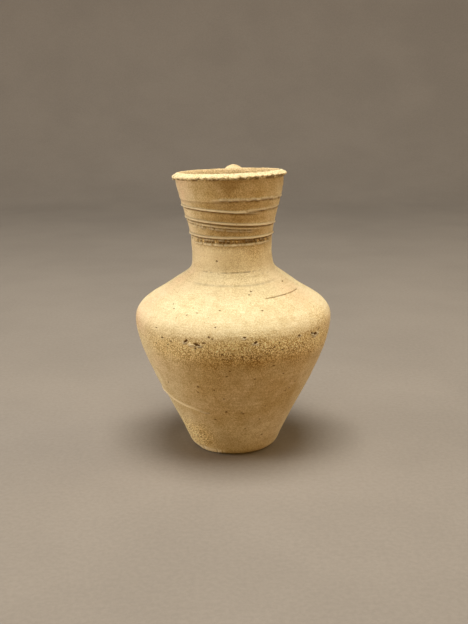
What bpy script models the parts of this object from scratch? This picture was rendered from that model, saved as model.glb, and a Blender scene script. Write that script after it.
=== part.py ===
"""A wheel-thrown clay ewer: hollow body, ribbed neck, bevelled lip and strap handle in one solid.

Lengths are in metres and +Z is up. The origin is the centre of the flat underside. The handle
stands at +Y, and the side opposite the handle faces -Y.
"""

import math

import bmesh
import bpy
import numpy as np
from mathutils import Matrix, Vector
from mathutils.geometry import interpolate_bezier

# Foot: a flat underside with a worn, rounded edge
UNDERSIDE_RADIUS = 0.0195
FOOT_EDGE_RUN = 0.0055
FOOT_EDGE_RISE = 0.0040

# Body: an opening cone, a rounded carination and a sloping shoulder
BELLY_RADIUS = 0.0534
BELLY_RISE = 0.0698
SHOULDER_RADIUS = 0.0350
SHOULDER_RISE = 0.0180
WALL_OPENING = math.radians(67.5)
SHOULDER_SLOPE = math.radians(36.0)
BODY_WALL = 0.0050
FLOOR = 0.0065

# Neck: a narrow waist that flares to the mouth
NECK_RADIUS = 0.0215
NECK_ROOT_RISE = 0.0168
NECK_RISE = 0.0406
MOUTH_RADIUS = 0.0288
NECK_WALL = 0.0042

# Ridges around the neck, as shares of the way from the waist up to the lip
RIDGE_PLACES = (0.20, 0.28, 0.46, 0.62, 0.78)
RIDGE_HEIGHT = 0.00045
RIDGE_UNDERCUT = 0.00020
RIDGE_BAND = 0.0011
RIDGE_STEP = 0.0005

# Lip: turned out over the neck, with a bevel that rises inward to the crest
LIP_OVERHANG = 0.0016
LIP_UNDER_RISE = 0.0004
LIP_EDGE = 0.0015
LIP_BEVEL_RISE = 0.0017
LIP_CREST_WIDTH = 0.0022
LIP_CREST_DROP = 0.0012
LIP_CREST_ROUNDING = (0.5, 0.2)

# Handle: a strap from just under the lip, over and down to the shoulder
HANDLE_WIDTH = 0.0128
HANDLE_THICKNESS = 0.0068
HANDLE_REACH = 0.0500
HANDLE_OFFSET = 0.0012
HANDLE_ROOT_DEPTH = 0.0023
HANDLE_ROOT_DROP = 0.0010
HANDLE_ROOT_ANGLE = math.radians(20.0)
HANDLE_ARCH = 0.0255
HANDLE_BEND_DROP = 0.0175
HANDLE_FOOT_RADIUS = 0.0410
HANDLE_FOOT_ANGLE = math.radians(66.0)
HANDLE_FOOT_DEPTH = 0.0020
HANDLE_TOP_FLARE = 0.30
HANDLE_FOOT_FLARE = 0.50
HANDLE_FLARE_LENGTH = 0.0060

# The neck leans: a steady tilt to the side, and a bend back toward the handle near the lip
SIDE_LEAN = math.radians(1.3)
BACK_LEAN = math.radians(3.0)
BACK_LEAN_START = 0.30

# Fired clay
CLAY_COLOUR = (0.62, 0.47, 0.30, 1.0)
CLAY_ROUGHNESS = 0.88

# How far each stretch of outline keeps its direction at its two ends, as shares of its rise or run
FOOT_PULLS = (0.50, 0.60)
WALL_PULLS = (0.36, 0.27)
CARINATION_PULLS = (0.50, 0.55)
NECK_ROOT_PULLS = (1.10, 0.57)
FLARE_PULLS = (0.46, 0.30)
FLOOR_PULLS = (0.80, 0.50)
STRAP_TOP_PULL = 0.50
STRAP_SIDE_PULLS = (0.48, 0.36)
STRAP_THICKENING = 0.5

# Fineness of the faceted surface: points along each stretch, and facets around
FOOT_STEPS = 4
WALL_STEPS = 8
CARINATION_STEPS = 9
NECK_ROOT_STEPS = 8
INNER_STEPS = 6
INNER_END_STEPS = 5
DENSE_STEPS = 120
TURNS = 56
HANDLE_SIDES = 14
HANDLE_STEPS = 11
MERGE_DISTANCE = 1e-6
SHARP_ANGLE = math.radians(38.0)

# Heights of the turned outline's stations
BELLY_HEIGHT = FOOT_EDGE_RISE + BELLY_RISE
SHOULDER_HEIGHT = BELLY_HEIGHT + SHOULDER_RISE
WAIST_HEIGHT = SHOULDER_HEIGHT + NECK_ROOT_RISE
LIP_HEIGHT = WAIST_HEIGHT + NECK_RISE

UP = Vector((0.0, 1.0))


def clear_scene():
    """Remove every object that the open file holds."""
    for item in list(bpy.data.objects):
        bpy.data.objects.remove(item, do_unlink=True)


def stretch(start, leave, end, arrive, steps):
    """A smooth stretch of outline as (radius, height) points.

    leave and arrive are the directions of travel at both ends, as long as the pull they have.
    """
    points = interpolate_bezier(start, start + leave, end - arrive, end, steps)
    return [Vector(point[:2]) for point in points]


def direction(angle):
    """A direction of travel that rises outward at an angle from level."""
    return Vector((math.cos(angle), math.sin(angle)))


def up_the_shoulder():
    """The direction of the sloping shoulder, rising inward."""
    return direction(math.pi - SHOULDER_SLOPE)


def into_the_shoulder():
    """The direction square to the shoulder's slope, into its wall."""
    return direction(-math.pi * 0.5 - SHOULDER_SLOPE)


def foot_edge():
    """The rounded edge from the flat underside up to the wall."""
    start = Vector((UNDERSIDE_RADIUS, 0.0))
    end = Vector((UNDERSIDE_RADIUS + FOOT_EDGE_RUN, FOOT_EDGE_RISE))
    leave = Vector((FOOT_EDGE_RUN * FOOT_PULLS[0], 0.0))
    arrive = direction(WALL_OPENING) * FOOT_EDGE_RISE * FOOT_PULLS[1]
    return stretch(start, leave, end, arrive, FOOT_STEPS)


def lower_wall(inset, start, steps):
    """The lower wall from a start point up to the belly, drawn in by an inset."""
    end = Vector((BELLY_RADIUS - inset, BELLY_HEIGHT))
    leave = direction(WALL_OPENING) * BELLY_RISE * WALL_PULLS[0]
    return stretch(start, leave, end, UP * BELLY_RISE * WALL_PULLS[1], steps)


def shoulder_point(inset):
    """The middle of the shoulder's slope, moved into the wall by an inset."""
    return Vector((SHOULDER_RADIUS, SHOULDER_HEIGHT)) + into_the_shoulder() * inset


def carination(inset, steps):
    """The turn at the belly and the outer half of the shoulder."""
    start = Vector((BELLY_RADIUS - inset, BELLY_HEIGHT))
    leave = UP * SHOULDER_RISE * CARINATION_PULLS[0]
    arrive = up_the_shoulder() * (BELLY_RADIUS - SHOULDER_RADIUS) * CARINATION_PULLS[1]
    return stretch(start, leave, shoulder_point(inset), arrive, steps)


def neck_root(inset, neck_inset, steps):
    """The inner half of the shoulder and the curve into the neck's waist."""
    end = Vector((NECK_RADIUS - neck_inset, WAIST_HEIGHT))
    leave = up_the_shoulder() * (SHOULDER_RADIUS - NECK_RADIUS) * NECK_ROOT_PULLS[0]
    arrive = UP * NECK_ROOT_RISE * NECK_ROOT_PULLS[1]
    return stretch(shoulder_point(inset), leave, end, arrive, steps)


def neck_flare(inset, steps):
    """The plain line of the neck from its waist up to the lip."""
    start = Vector((NECK_RADIUS - inset, WAIST_HEIGHT))
    end = Vector((MOUTH_RADIUS - inset, LIP_HEIGHT))
    leave = UP * NECK_RISE * FLARE_PULLS[0]
    return stretch(start, leave, end, UP * NECK_RISE * FLARE_PULLS[1], steps)


def ribbed_neck():
    """The outer line of the neck, with a thin ridge at each of its places.

    Each band leans out to its ridge from above and steps in sharply under it.
    """
    plain = neck_flare(0.0, DENSE_STEPS)
    plain_heights = [point.y for point in plain]
    plain_radii = [point.x for point in plain]
    relief = [(WAIST_HEIGHT, 0.0)]
    for place in RIDGE_PLACES:
        crest = WAIST_HEIGHT + NECK_RISE * place
        relief.append((crest - RIDGE_STEP, -RIDGE_UNDERCUT))
        relief.append((crest, RIDGE_HEIGHT))
        relief.append((crest + RIDGE_BAND, 0.0))
    relief.append((LIP_HEIGHT - RIDGE_BAND, 0.0))
    relief.append((LIP_HEIGHT, 0.0))
    outline = []
    for height, proud in relief:
        radius = float(np.interp(height, plain_heights, plain_radii))
        outline.append(Vector((radius + proud, height)))
    return outline


def lip():
    """The turned-out lip: blunt edge, bevel up to the crest, and the fall into the mouth."""
    edge_radius = MOUTH_RADIUS + LIP_OVERHANG
    edge_low = LIP_HEIGHT + LIP_UNDER_RISE
    edge_top = edge_low + LIP_EDGE
    crest_height = edge_top + LIP_BEVEL_RISE
    inner_radius = MOUTH_RADIUS - NECK_WALL
    across, down = LIP_CREST_ROUNDING
    return [
        Vector((edge_radius, edge_low)),
        Vector((edge_radius, edge_top)),
        Vector((inner_radius + LIP_CREST_WIDTH, crest_height)),
        Vector((inner_radius + LIP_CREST_WIDTH * across, crest_height - LIP_CREST_DROP * down)),
        Vector((inner_radius, crest_height - LIP_CREST_DROP)),
    ]


def hollow():
    """The inner line, from the axis of the floor up to the mouth."""
    floor = Vector((0.0, FLOOR))
    wall_start = Vector((UNDERSIDE_RADIUS + FOOT_EDGE_RUN - BODY_WALL, FLOOR + BODY_WALL))
    leave = Vector((wall_start.x * FLOOR_PULLS[0], 0.0))
    arrive = direction(WALL_OPENING) * BODY_WALL * FLOOR_PULLS[1]
    line = stretch(floor, leave, wall_start, arrive, INNER_END_STEPS)
    line += lower_wall(BODY_WALL, wall_start, INNER_STEPS)[1:]
    line += carination(BODY_WALL, INNER_STEPS)[1:]
    line += neck_root(BODY_WALL, NECK_WALL, INNER_STEPS)[1:]
    line += neck_flare(NECK_WALL, INNER_END_STEPS)[1:]
    return line


def turned_outline():
    """The whole closed outline, from the axis of the underside to the axis of the floor."""
    outer = [Vector((0.0, 0.0))]
    outer += foot_edge()
    outer += lower_wall(0.0, outer[-1], WALL_STEPS)[1:]
    outer += carination(0.0, CARINATION_STEPS)[1:]
    outer += neck_root(0.0, 0.0, NECK_ROOT_STEPS)[1:]
    outer += ribbed_neck()[1:]
    outer += lip()
    return outer + hollow()[::-1]


def lean(point):
    """Bend a point of the upright vessel as the soft neck settled.

    Each level turns by a small angle and shifts by the sum of the turns below it.
    """
    above_root = max(0.0, point.z - SHOULDER_HEIGHT)
    side = SIDE_LEAN * min(1.0, above_root / NECK_ROOT_RISE)
    side_shift = side * above_root
    bend_start = WAIST_HEIGHT + NECK_RISE * BACK_LEAN_START
    bend_length = LIP_HEIGHT - bend_start
    above_bend = max(0.0, point.z - bend_start)
    back = BACK_LEAN * min(1.0, above_bend / bend_length)
    back_shift = back * above_bend / 2.0
    lift = point.x * math.tan(side) - point.y * math.tan(back)
    return Vector((point.x - side_shift, point.y + back_shift, point.z + lift))


def make_object(name, shape):
    """Turn a bmesh into an object of the scene, with every point leaned and faces outward."""
    for vertex in shape.verts:
        vertex.co = lean(vertex.co)
    bmesh.ops.recalc_face_normals(shape, faces=shape.faces)
    mesh = bpy.data.meshes.new(name)
    shape.to_mesh(mesh)
    shape.free()
    mesh.shade_smooth()
    mesh.set_sharp_from_angle(angle=SHARP_ANGLE)
    item = bpy.data.objects.new(name, mesh)
    bpy.context.scene.collection.objects.link(item)
    return item


def make_vessel():
    """Turn the outline about the axis into the hollow vessel."""
    shape = bmesh.new()
    chain = [shape.verts.new((point.x, 0.0, point.y)) for point in turned_outline()]
    edges = [shape.edges.new(pair) for pair in zip(chain, chain[1:])]
    bmesh.ops.spin(
        shape,
        geom=chain + edges,
        cent=(0.0, 0.0, 0.0),
        axis=(0.0, 0.0, 1.0),
        angle=math.tau,
        steps=TURNS,
        use_merge=True,
    )
    bmesh.ops.remove_doubles(shape, verts=shape.verts, dist=MERGE_DISTANCE)
    return make_object("ewer", shape)


def handle_foot():
    """The end of the strap's line, inside the wall where the strap lands on the shoulder."""
    slope = carination(0.0, DENSE_STEPS) + neck_root(0.0, 0.0, DENSE_STEPS)[1:]
    radii = [point.x for point in reversed(slope)]
    heights = [point.y for point in reversed(slope)]
    landing_height = float(np.interp(HANDLE_FOOT_RADIUS, radii, heights))
    landing = Vector((HANDLE_FOOT_RADIUS, landing_height))
    return landing + into_the_shoulder() * HANDLE_FOOT_DEPTH


def handle_line():
    """Points along the middle of the strap, as (distance from the axis, height)."""
    root = Vector((MOUTH_RADIUS - HANDLE_ROOT_DEPTH, LIP_HEIGHT - HANDLE_ROOT_DROP))
    bend = Vector((HANDLE_REACH - HANDLE_THICKNESS * 0.5, LIP_HEIGHT - HANDLE_BEND_DROP))
    foot = handle_foot()
    drop = bend.y - foot.y
    leave = direction(HANDLE_ROOT_ANGLE) * (bend.x - root.x) * STRAP_TOP_PULL
    top = stretch(root, leave, bend, -UP * HANDLE_ARCH, HANDLE_STEPS)
    fall = -UP * drop * STRAP_SIDE_PULLS[0]
    land = direction(HANDLE_FOOT_ANGLE - math.pi) * drop * STRAP_SIDE_PULLS[1]
    return top + stretch(bend, fall, foot, land, HANDLE_STEPS)[1:]


def handle_sections():
    """A placing matrix for each section: width, thickness, travel and centre."""
    line = handle_line()
    travelled = [0.0]
    for before, after in zip(line, line[1:]):
        travelled.append(travelled[-1] + (after - before).length)
    sections = []
    for index, centre in enumerate(line):
        before = line[max(index - 1, 0)]
        after = line[min(index + 1, len(line) - 1)]
        travel = (after - before).normalized()
        to_end = travelled[-1] - travelled[index]
        swell = HANDLE_TOP_FLARE * math.exp(-travelled[index] / HANDLE_FLARE_LENGTH)
        swell += HANDLE_FOOT_FLARE * math.exp(-to_end / HANDLE_FLARE_LENGTH)
        wide = HANDLE_WIDTH * 0.5 * (1.0 + swell)
        thick = HANDLE_THICKNESS * 0.5 * (1.0 + swell * STRAP_THICKENING)
        placing = Matrix((
            (wide, 0.0, 0.0, HANDLE_OFFSET),
            (0.0, -travel.y * thick, travel.x, centre.x),
            (0.0, travel.x * thick, travel.y, centre.y),
            (0.0, 0.0, 0.0, 1.0),
        ))
        sections.append(placing)
    return sections


def make_handle():
    """Draw the strap's rounded section along its line."""
    sections = handle_sections()
    shape = bmesh.new()
    ring = bmesh.ops.create_circle(shape, segments=HANDLE_SIDES, radius=1.0)["verts"]
    first_ring = list(shape.edges)
    bmesh.ops.transform(shape, matrix=sections[0], verts=ring)
    edges = first_ring
    for before, after in zip(sections, sections[1:]):
        grown = bmesh.ops.extrude_edge_only(shape, edges=edges)["geom"]
        ring = [part for part in grown if isinstance(part, bmesh.types.BMVert)]
        edges = [part for part in grown if isinstance(part, bmesh.types.BMEdge)]
        edges = [edge for edge in edges if all(vertex in ring for vertex in edge.verts)]
        bmesh.ops.transform(shape, matrix=after @ before.inverted(), verts=ring)
    bmesh.ops.edgeloop_fill(shape, edges=first_ring)
    bmesh.ops.edgeloop_fill(shape, edges=edges)
    handle = make_object("handle_strap", shape)
    handle.hide_render = True
    handle.display_type = "WIRE"
    return handle


def lute(vessel, handle):
    """Join the handle to the vessel's wall as one body of clay."""
    joint = vessel.modifiers.new("handle", "BOOLEAN")
    joint.operation = "UNION"
    joint.solver = "EXACT"
    joint.object = handle


def clay():
    """Pale buff clay, fired without glaze."""
    material = bpy.data.materials.new("buff_clay")
    material.use_nodes = True
    shader = material.node_tree.nodes["Principled BSDF"]
    shader.inputs["Base Color"].default_value = CLAY_COLOUR
    shader.inputs["Roughness"].default_value = CLAY_ROUGHNESS
    shader.inputs["Metallic"].default_value = 0.0
    return material


def main():
    """Build the ewer."""
    clear_scene()
    vessel = make_vessel()
    vessel.data.materials.append(clay())
    lute(vessel, make_handle())


main()
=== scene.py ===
"""A buff clay ewer with a ribbed neck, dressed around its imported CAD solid.

The vessel is one closed surface: a turned outline carried around the axis on a grid of heights
and azimuths, with its throwing ridges, ledge, lip crumbs, pits and scratches as small moves of
that grid along the outline's normal. The strap handle is a rounded section carried along a line,
joined to the vessel as the potter luted it.

Shapes are worked out in millimetres and degrees, and turned into metres as each mesh is made.
Azimuth 0 faces -Y, the side that the photograph shows, and grows toward +X. The handle is at 180.
"""

import itertools
import logging
import math
from collections.abc import Sequence
from dataclasses import dataclass, field
from enum import Enum

import bpy
import numpy as np
from mathutils import Matrix, Vector


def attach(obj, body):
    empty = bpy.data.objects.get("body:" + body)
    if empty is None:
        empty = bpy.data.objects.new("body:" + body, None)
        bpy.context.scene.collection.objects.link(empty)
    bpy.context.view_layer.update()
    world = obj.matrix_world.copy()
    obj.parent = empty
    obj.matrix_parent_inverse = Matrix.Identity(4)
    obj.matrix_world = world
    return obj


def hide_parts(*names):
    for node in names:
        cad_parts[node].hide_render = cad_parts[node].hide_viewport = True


Array = np.ndarray
Colour = tuple[float, float, float, float]
Socket = bpy.types.NodeSocket

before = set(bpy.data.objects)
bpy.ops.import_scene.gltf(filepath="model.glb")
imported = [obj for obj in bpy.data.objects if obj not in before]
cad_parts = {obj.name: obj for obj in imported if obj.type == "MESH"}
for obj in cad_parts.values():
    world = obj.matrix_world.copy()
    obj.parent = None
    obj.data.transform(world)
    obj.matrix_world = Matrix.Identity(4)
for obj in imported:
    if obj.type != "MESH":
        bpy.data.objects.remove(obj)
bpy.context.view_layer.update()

log = logging.getLogger("ewer")

MM = 0.001
NODE = "ewer"
BODY = "root"
# Shares of finish that the mesh carries for the material. The crest share paints highlights where edges face
# the light, besides pale chips; the groove share paints shade under ridges, under the lip and in cuts; the
# stain share is a real drip plus painted shade; the bloom share is a pale bloom plus painted light.
SHARES = ("crest", "groove", "grit", "stain_and_shade", "blush", "bloom_and_light")
CHANNELS = ("Red", "Green", "Blue")


def smooth_step(value: Array) -> Array:
    """A soft step from 0 to 1 as the value goes from 0 to 1."""
    share = np.clip(value, 0.0, 1.0)
    return share * share * (3.0 - 2.0 * share)


def step_up(value: Array, start: Array | float, over: float) -> Array:
    """A soft step from 0 at a start to 1 a distance further."""
    return smooth_step((value - start) / over)


def step_down(value: Array, end: Array | float, over: float) -> Array:
    """A soft step from 1 down to 0 at an end, over a distance."""
    return smooth_step((end - value) / over)


def added_up(steps: Array) -> Array:
    """The running total of some steps, from 0."""
    return np.concatenate([[0.0], np.cumsum(steps)])


def end_to_end(parts: Sequence[Array]) -> Array:
    """Stretches of an outline as one, each without its repeated first point."""
    return np.concatenate([parts[0]] + [part[1:] for part in parts[1:]])


def hump(value: Array, centre: float, width: float) -> Array:
    """A bell of height 1 at a centre, falling to 1/e a width away."""
    return np.exp(-(((value - centre) / width) ** 2))


def turn_apart(azimuth: Array, other: float) -> Array:
    """Degrees from one azimuth to another the short way round, from -180 to 180."""
    return (azimuth - other + 180.0) % 360.0 - 180.0


def stretch(start: Array, leave: Array, end: Array, arrive: Array, steps: int) -> Array:
    """Draw a smooth stretch of outline.

    A cubic Bezier curve: the two inner control points are the start plus the leaving pull, and
    the end less the arriving pull.

    Args:
        start: First point, as radius and height.
        leave: Direction of travel at the start, as long as its pull.
        end: Last point.
        arrive: Direction of travel at the end, as long as its pull.
        steps: Number of points.

    Returns:
        The points, one a row.
    """
    t = np.linspace(0.0, 1.0, steps)[:, None]
    near, far = start + leave, end - arrive
    ahead = 1.0 - t
    return ahead**3 * start + 3 * ahead**2 * t * near + 3 * ahead * t**2 * far + t**3 * end


def direction(angle: float) -> Array:
    """The direction of travel that rises outward at an angle in degrees."""
    return np.array([math.cos(math.radians(angle)), math.sin(math.radians(angle))])


@dataclass
class ClayNoise:
    """Seeded lumps in space, for everything about the clay that isn't regular."""

    seed: int
    cells: int = 32
    lattice: Array = field(init=False)

    def __post_init__(self) -> None:
        """Draw the lattice of random values."""
        values = np.random.default_rng(self.seed)
        self.lattice = values.uniform(-1.0, 1.0, (self.cells,) * 3)

    def lumps(self, points: Array, size: float) -> Array:
        """Value noise: the eight lattice values around a point, blended by a soft step.

        Args:
            points: Places in millimetres, with x, y and z last.
            size: Side of a lattice cell in millimetres.

        Returns:
            A value from -1 to 1 for each point.
        """
        place = points / size
        cell = np.floor(place).astype(int)
        share = smooth_step(place - cell)
        total = np.zeros(points.shape[:-1])
        for corner in itertools.product((0, 1), repeat=3):
            near = np.where(np.array(corner) == 1, share, 1.0 - share)
            x, y, z = np.moveaxis((cell + corner) % self.cells, -1, 0)
            total += near.prod(axis=-1) * self.lattice[x, y, z]
        return total

    def layered(self, points: Array, size: float, layers: int = 3) -> Array:
        """Lumps of halving size and weight, added up."""
        return sum(
            self.lumps(points + 17.3 * layer, size / 2**layer) / 2**layer
            for layer in range(layers)
        )

    def around(self, azimuth: Array, spacing: float, level: float = 0.0) -> Array:
        """Noise along a circle, so that it joins up after a full turn.

        Args:
            azimuth: Degrees.
            spacing: Degrees from one lump to the next.
            level: Picks one circle out of many.

        Returns:
            A value from -1 to 1 for each azimuth.
        """
        angle = np.radians(azimuth)
        radius = 180.0 / math.pi / spacing
        flat = np.full_like(angle, level * 3.7 + 0.5)
        return self.lumps(np.stack([radius * np.cos(angle), radius * np.sin(angle), flat], -1), 1.0)

    def rings(
        self, azimuth: Array, height: Array, lobes: float, spacing: float, shift: float = 0.0
    ) -> Array:
        """Level rings of noise, whose strength drifts around the vessel.

        Args:
            azimuth: Degrees.
            height: Millimetres, on the same grid.
            lobes: How much the rings change around the vessel.
            spacing: Millimetres from one ring to the next.
            shift: Picks one set of rings out of many.

        Returns:
            A value from -1 to 1 for each point.
        """
        angle = np.radians(azimuth)
        place = [lobes * np.cos(angle) + shift, lobes * np.sin(angle), height / spacing]
        return self.lumps(np.stack(place, axis=-1), 1.0)


@dataclass
class Outline:
    """The turned outline of the vessel, with the same stations and pulls as the CAD solid."""

    underside_radius: float = 19.5
    foot_run: float = 5.5
    foot_rise: float = 4.0
    belly_radius: float = 53.4
    belly_height: float = 73.8
    shoulder_radius: float = 35.0
    shoulder_height: float = 91.8
    waist_radius: float = 21.5
    waist_height: float = 108.6
    mouth_radius: float = 28.8
    lip_height: float = 149.2
    wall_opening: float = 67.5
    shoulder_slope: float = 36.0
    body_wall: float = 5.0
    neck_wall: float = 4.2
    floor: float = 6.5
    side_lean: float = 1.3
    back_lean: float = 3.0
    back_lean_start: float = 0.30
    dense: int = 400
    line: Array = field(init=False)
    run: Array = field(init=False)
    tilt: Array = field(init=False)

    def __post_init__(self) -> None:
        """Draw the outer line once, densely, with its run and its normal's tilt."""
        foot = np.array([self.underside_radius + self.foot_run, self.foot_rise])
        belly_rise = self.belly_height - self.foot_rise
        edge = stretch(
            np.array([self.underside_radius, 0.0]),
            np.array([self.foot_run * 0.50, 0.0]),
            foot,
            direction(self.wall_opening) * self.foot_rise * 0.60,
            self.dense,
        )
        wall = self.lower_wall(0.0, foot, belly_rise)
        parts = [edge, wall, self.carination(0.0), self.neck_root(0.0, 0.0), self.flare(0.0)]
        self.line = end_to_end(parts)
        self.run = added_up(np.hypot(*np.diff(self.line, axis=0).T))
        travel = np.gradient(self.line, self.run, axis=0)
        self.tilt = np.unwrap(np.arctan2(-travel[:, 0], travel[:, 1]))

    def lower_wall(self, inset: float, start: Array, rise: float) -> Array:
        """The nearly straight lower wall up to the belly, drawn in by an inset."""
        end = np.array([self.belly_radius - inset, self.belly_height])
        leave = direction(self.wall_opening) * rise * 0.36
        return stretch(start, leave, end, np.array([0.0, rise * 0.27]), self.dense)

    def shoulder_point(self, inset: float) -> Array:
        """The middle of the shoulder's slope, moved into the wall by an inset."""
        into = direction(-90.0 - self.shoulder_slope)
        return np.array([self.shoulder_radius, self.shoulder_height]) + into * inset

    def carination(self, inset: float) -> Array:
        """The rounded turn at the belly and the outer half of the shoulder."""
        start = np.array([self.belly_radius - inset, self.belly_height])
        leave = np.array([0.0, (self.shoulder_height - self.belly_height) * 0.50])
        arrive = direction(180.0 - self.shoulder_slope)
        arrive = arrive * (self.belly_radius - self.shoulder_radius) * 0.55
        return stretch(start, leave, self.shoulder_point(inset), arrive, self.dense)

    def neck_root(self, inset: float, neck_inset: float) -> Array:
        """The inner half of the shoulder and the curve into the waist."""
        end = np.array([self.waist_radius - neck_inset, self.waist_height])
        leave = direction(180.0 - self.shoulder_slope)
        leave = leave * (self.shoulder_radius - self.waist_radius) * 1.10
        arrive = np.array([0.0, (self.waist_height - self.shoulder_height) * 0.57])
        return stretch(self.shoulder_point(inset), leave, end, arrive, self.dense)

    def flare(self, inset: float) -> Array:
        """The plain line of the neck from its waist up to the lip."""
        rise = self.lip_height - self.waist_height
        start = np.array([self.waist_radius - inset, self.waist_height])
        end = np.array([self.mouth_radius - inset, self.lip_height])
        leave, arrive = np.array([0.0, rise * 0.46]), np.array([0.0, rise * 0.30])
        return stretch(start, leave, end, arrive, self.dense)

    def hollow(self) -> Array:
        """The inner line from the mouth down to the floor's middle."""
        foot = self.underside_radius + self.foot_run - self.body_wall
        start = np.array([foot, self.floor + self.body_wall])
        floor = stretch(
            np.array([0.0, self.floor]),
            np.array([foot * 0.80, 0.0]),
            start,
            direction(self.wall_opening) * self.body_wall * 0.50,
            self.dense,
        )
        wall = self.lower_wall(self.body_wall, start, self.belly_height - self.foot_rise)
        parts = [floor, wall, self.carination(self.body_wall)]
        parts += [self.neck_root(self.body_wall, self.neck_wall), self.flare(self.neck_wall)]
        return end_to_end(parts)[::-1]

    def radius_at(self, height: Array) -> Array:
        """The outer radius at a height."""
        return np.interp(height, self.line[:, 1], self.line[:, 0])

    def run_at(self, height: Array) -> Array:
        """The length of the outer line from the foot up to a height."""
        return np.interp(height, self.line[:, 1], self.run)

    def tilt_at(self, height: Array) -> Array:
        """How far the outer normal looks up, in radians."""
        return np.interp(height, self.line[:, 1], self.tilt)

    def lean(self, x: Array, y: Array, z: Array) -> tuple[Array, Array, Array]:
        """Bend the upright vessel as the soft neck settled.

        Each level turns by a small angle, which grows over the neck's root to the side and over
        the neck toward the handle, and shifts by the sum of the turns below it.
        """
        above = np.maximum(0.0, z - self.shoulder_height)
        root_rise = self.waist_height - self.shoulder_height
        side = math.radians(self.side_lean) * np.minimum(1.0, above / root_rise)
        start = self.waist_height + (self.lip_height - self.waist_height) * self.back_lean_start
        bend = np.maximum(0.0, z - start)
        back = math.radians(self.back_lean) * np.minimum(1.0, bend / (self.lip_height - start))
        lift = x * np.tan(side) - y * np.tan(back)
        return x - side * above, y + back * bend / 2.0, z + lift

    def place(self, azimuth: Array, radius: Array, height: Array) -> Array:
        """Points of the leaned vessel, in millimetres, from azimuth, radius and height."""
        angle = np.radians(azimuth)
        x, y = radius * np.sin(angle), -radius * np.cos(angle)
        return np.stack(self.lean(x, y, height), axis=-1)

    def surface(self, azimuth: float, height: float) -> Array:
        """One point of the plain outer surface."""
        return self.place(np.array(azimuth), self.radius_at(height), np.array(height))

    def outward(self, azimuth: float, height: float) -> Array:
        """The direction straight out of the upright surface."""
        angle, tilt = math.radians(azimuth), float(self.tilt_at(height))
        level = math.cos(tilt)
        return np.array([level * math.sin(angle), -level * math.cos(angle), math.sin(tilt)])


@dataclass(frozen=True)
class Window:
    """A stretch of azimuths where a mark shows, softly ended."""

    start: float = -180.0
    end: float = 180.0
    fade: float = 8.0

    def at(self, azimuth: Array) -> Array:
        """1 inside the stretch and 0 outside it, with soft steps at its ends."""
        if self.end - self.start >= 360.0:
            return np.ones_like(azimuth)
        half = (self.end - self.start) / 2.0
        apart = np.abs(turn_apart(azimuth, self.start + half))
        return 1.0 - smooth_step((apart - half + self.fade) / self.fade)


@dataclass(frozen=True)
class Patch:
    """A soft oval area of the surface with its own strength."""

    strength: float
    azimuth: float
    wide: float
    height: float
    tall: float

    def at(self, azimuth: Array, height: Array) -> Array:
        """The strength at each place."""
        around = hump(turn_apart(azimuth, self.azimuth), 0.0, self.wide)
        return self.strength * around * hump(height, self.height, self.tall)


@dataclass(frozen=True)
class Band:
    """A soft level band of the surface with its own strength."""

    strength: float
    height: float
    tall: float
    window: Window = Window()

    def at(self, azimuth: Array, height: Array) -> Array:
        """The strength at each place."""
        return self.strength * hump(height, self.height, self.tall) * self.window.at(azimuth)


def together(marks: Sequence[Patch | Band], azimuth: Array, height: Array) -> Array:
    """The strength of several patches and bands, added up."""
    return sum(mark.at(azimuth, height) for mark in marks)


@dataclass(frozen=True)
class Ridge:
    """A thin throwing ridge: sharp crest, soft band above it, abrupt step under it."""

    height: float
    fall: float
    proud: float
    undercut: float
    window: Window = Window()
    band: float = 0.5
    step: float = 0.5
    recover: float = 1.1
    ragged: float = 0.25
    wander: float = 0.08
    rise: float = 0.0
    # The last two set how strong the painted highlight along the crest is, and how strong the painted shade
    # in the step under it is.
    light: float = 1.0
    painted_shade: float = 1.35

    def line(self, azimuth: Array, noise: ClayNoise) -> Array:
        """The crest's height: it falls as the sine of azimuth, may rise as a spiral, and wanders."""
        spiral = self.rise * ((azimuth - self.window.start) % 360.0) / 360.0
        wander = self.wander * noise.around(azimuth, 5.0, self.height)
        return self.height - self.fall * np.sin(np.radians(azimuth)) + spiral + wander

    def strength(self, azimuth: Array, noise: ClayNoise) -> Array:
        """How fully the crest stands at each azimuth: its window, broken by noise."""
        broken = noise.around(azimuth, 2.6, self.height + 9.0)
        broken += 0.5 * noise.around(azimuth, 1.1, self.height + 5.0)
        return self.window.at(azimuth) * np.clip(1.0 - self.ragged * (0.6 - broken), 0.0, 1.4)

    def relief(self, azimuth: Array, height: Array, noise: ClayNoise) -> Array:
        """How far the clay stands out, in millimetres.

        Above the crest it falls away as two exponentials, a short and a long one. Below, it
        drops to the undercut in one soft step, which then fades.
        """
        above = height - self.line(azimuth, noise)
        up = np.maximum(above, 0.0)
        down = np.maximum(-above, 0.0)
        band = 0.65 * np.exp(-up / self.band) + 0.35 * np.exp(-up / (self.band * 3.2))
        drop = self.proud - (self.proud + self.undercut) * smooth_step(down / self.step)
        fade = np.exp(-np.maximum(down - self.step, 0.0) / self.recover)
        low = np.where(down < self.step, drop, drop * fade)
        return self.strength(azimuth, noise) * np.where(above >= 0.0, self.proud * band, low)

    def crest(self, azimuth: Array, height: Array, noise: ClayNoise) -> Array:
        """Where a painted highlight lies along the crest's upper side, which faces the light, from 0 to 1."""
        above = height - self.line(azimuth, noise)
        return 1.4 * self.light * self.strength(azimuth, noise) * hump(above, 0.26, 0.48)

    def groove(self, azimuth: Array, height: Array, noise: ClayNoise) -> Array:
        """Where painted shade lies in the step under the crest, from 0 to 1."""
        above = height - self.line(azimuth, noise)
        return self.painted_shade * self.strength(azimuth, noise) * hump(above, -self.step - 0.20, 0.50)


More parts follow.
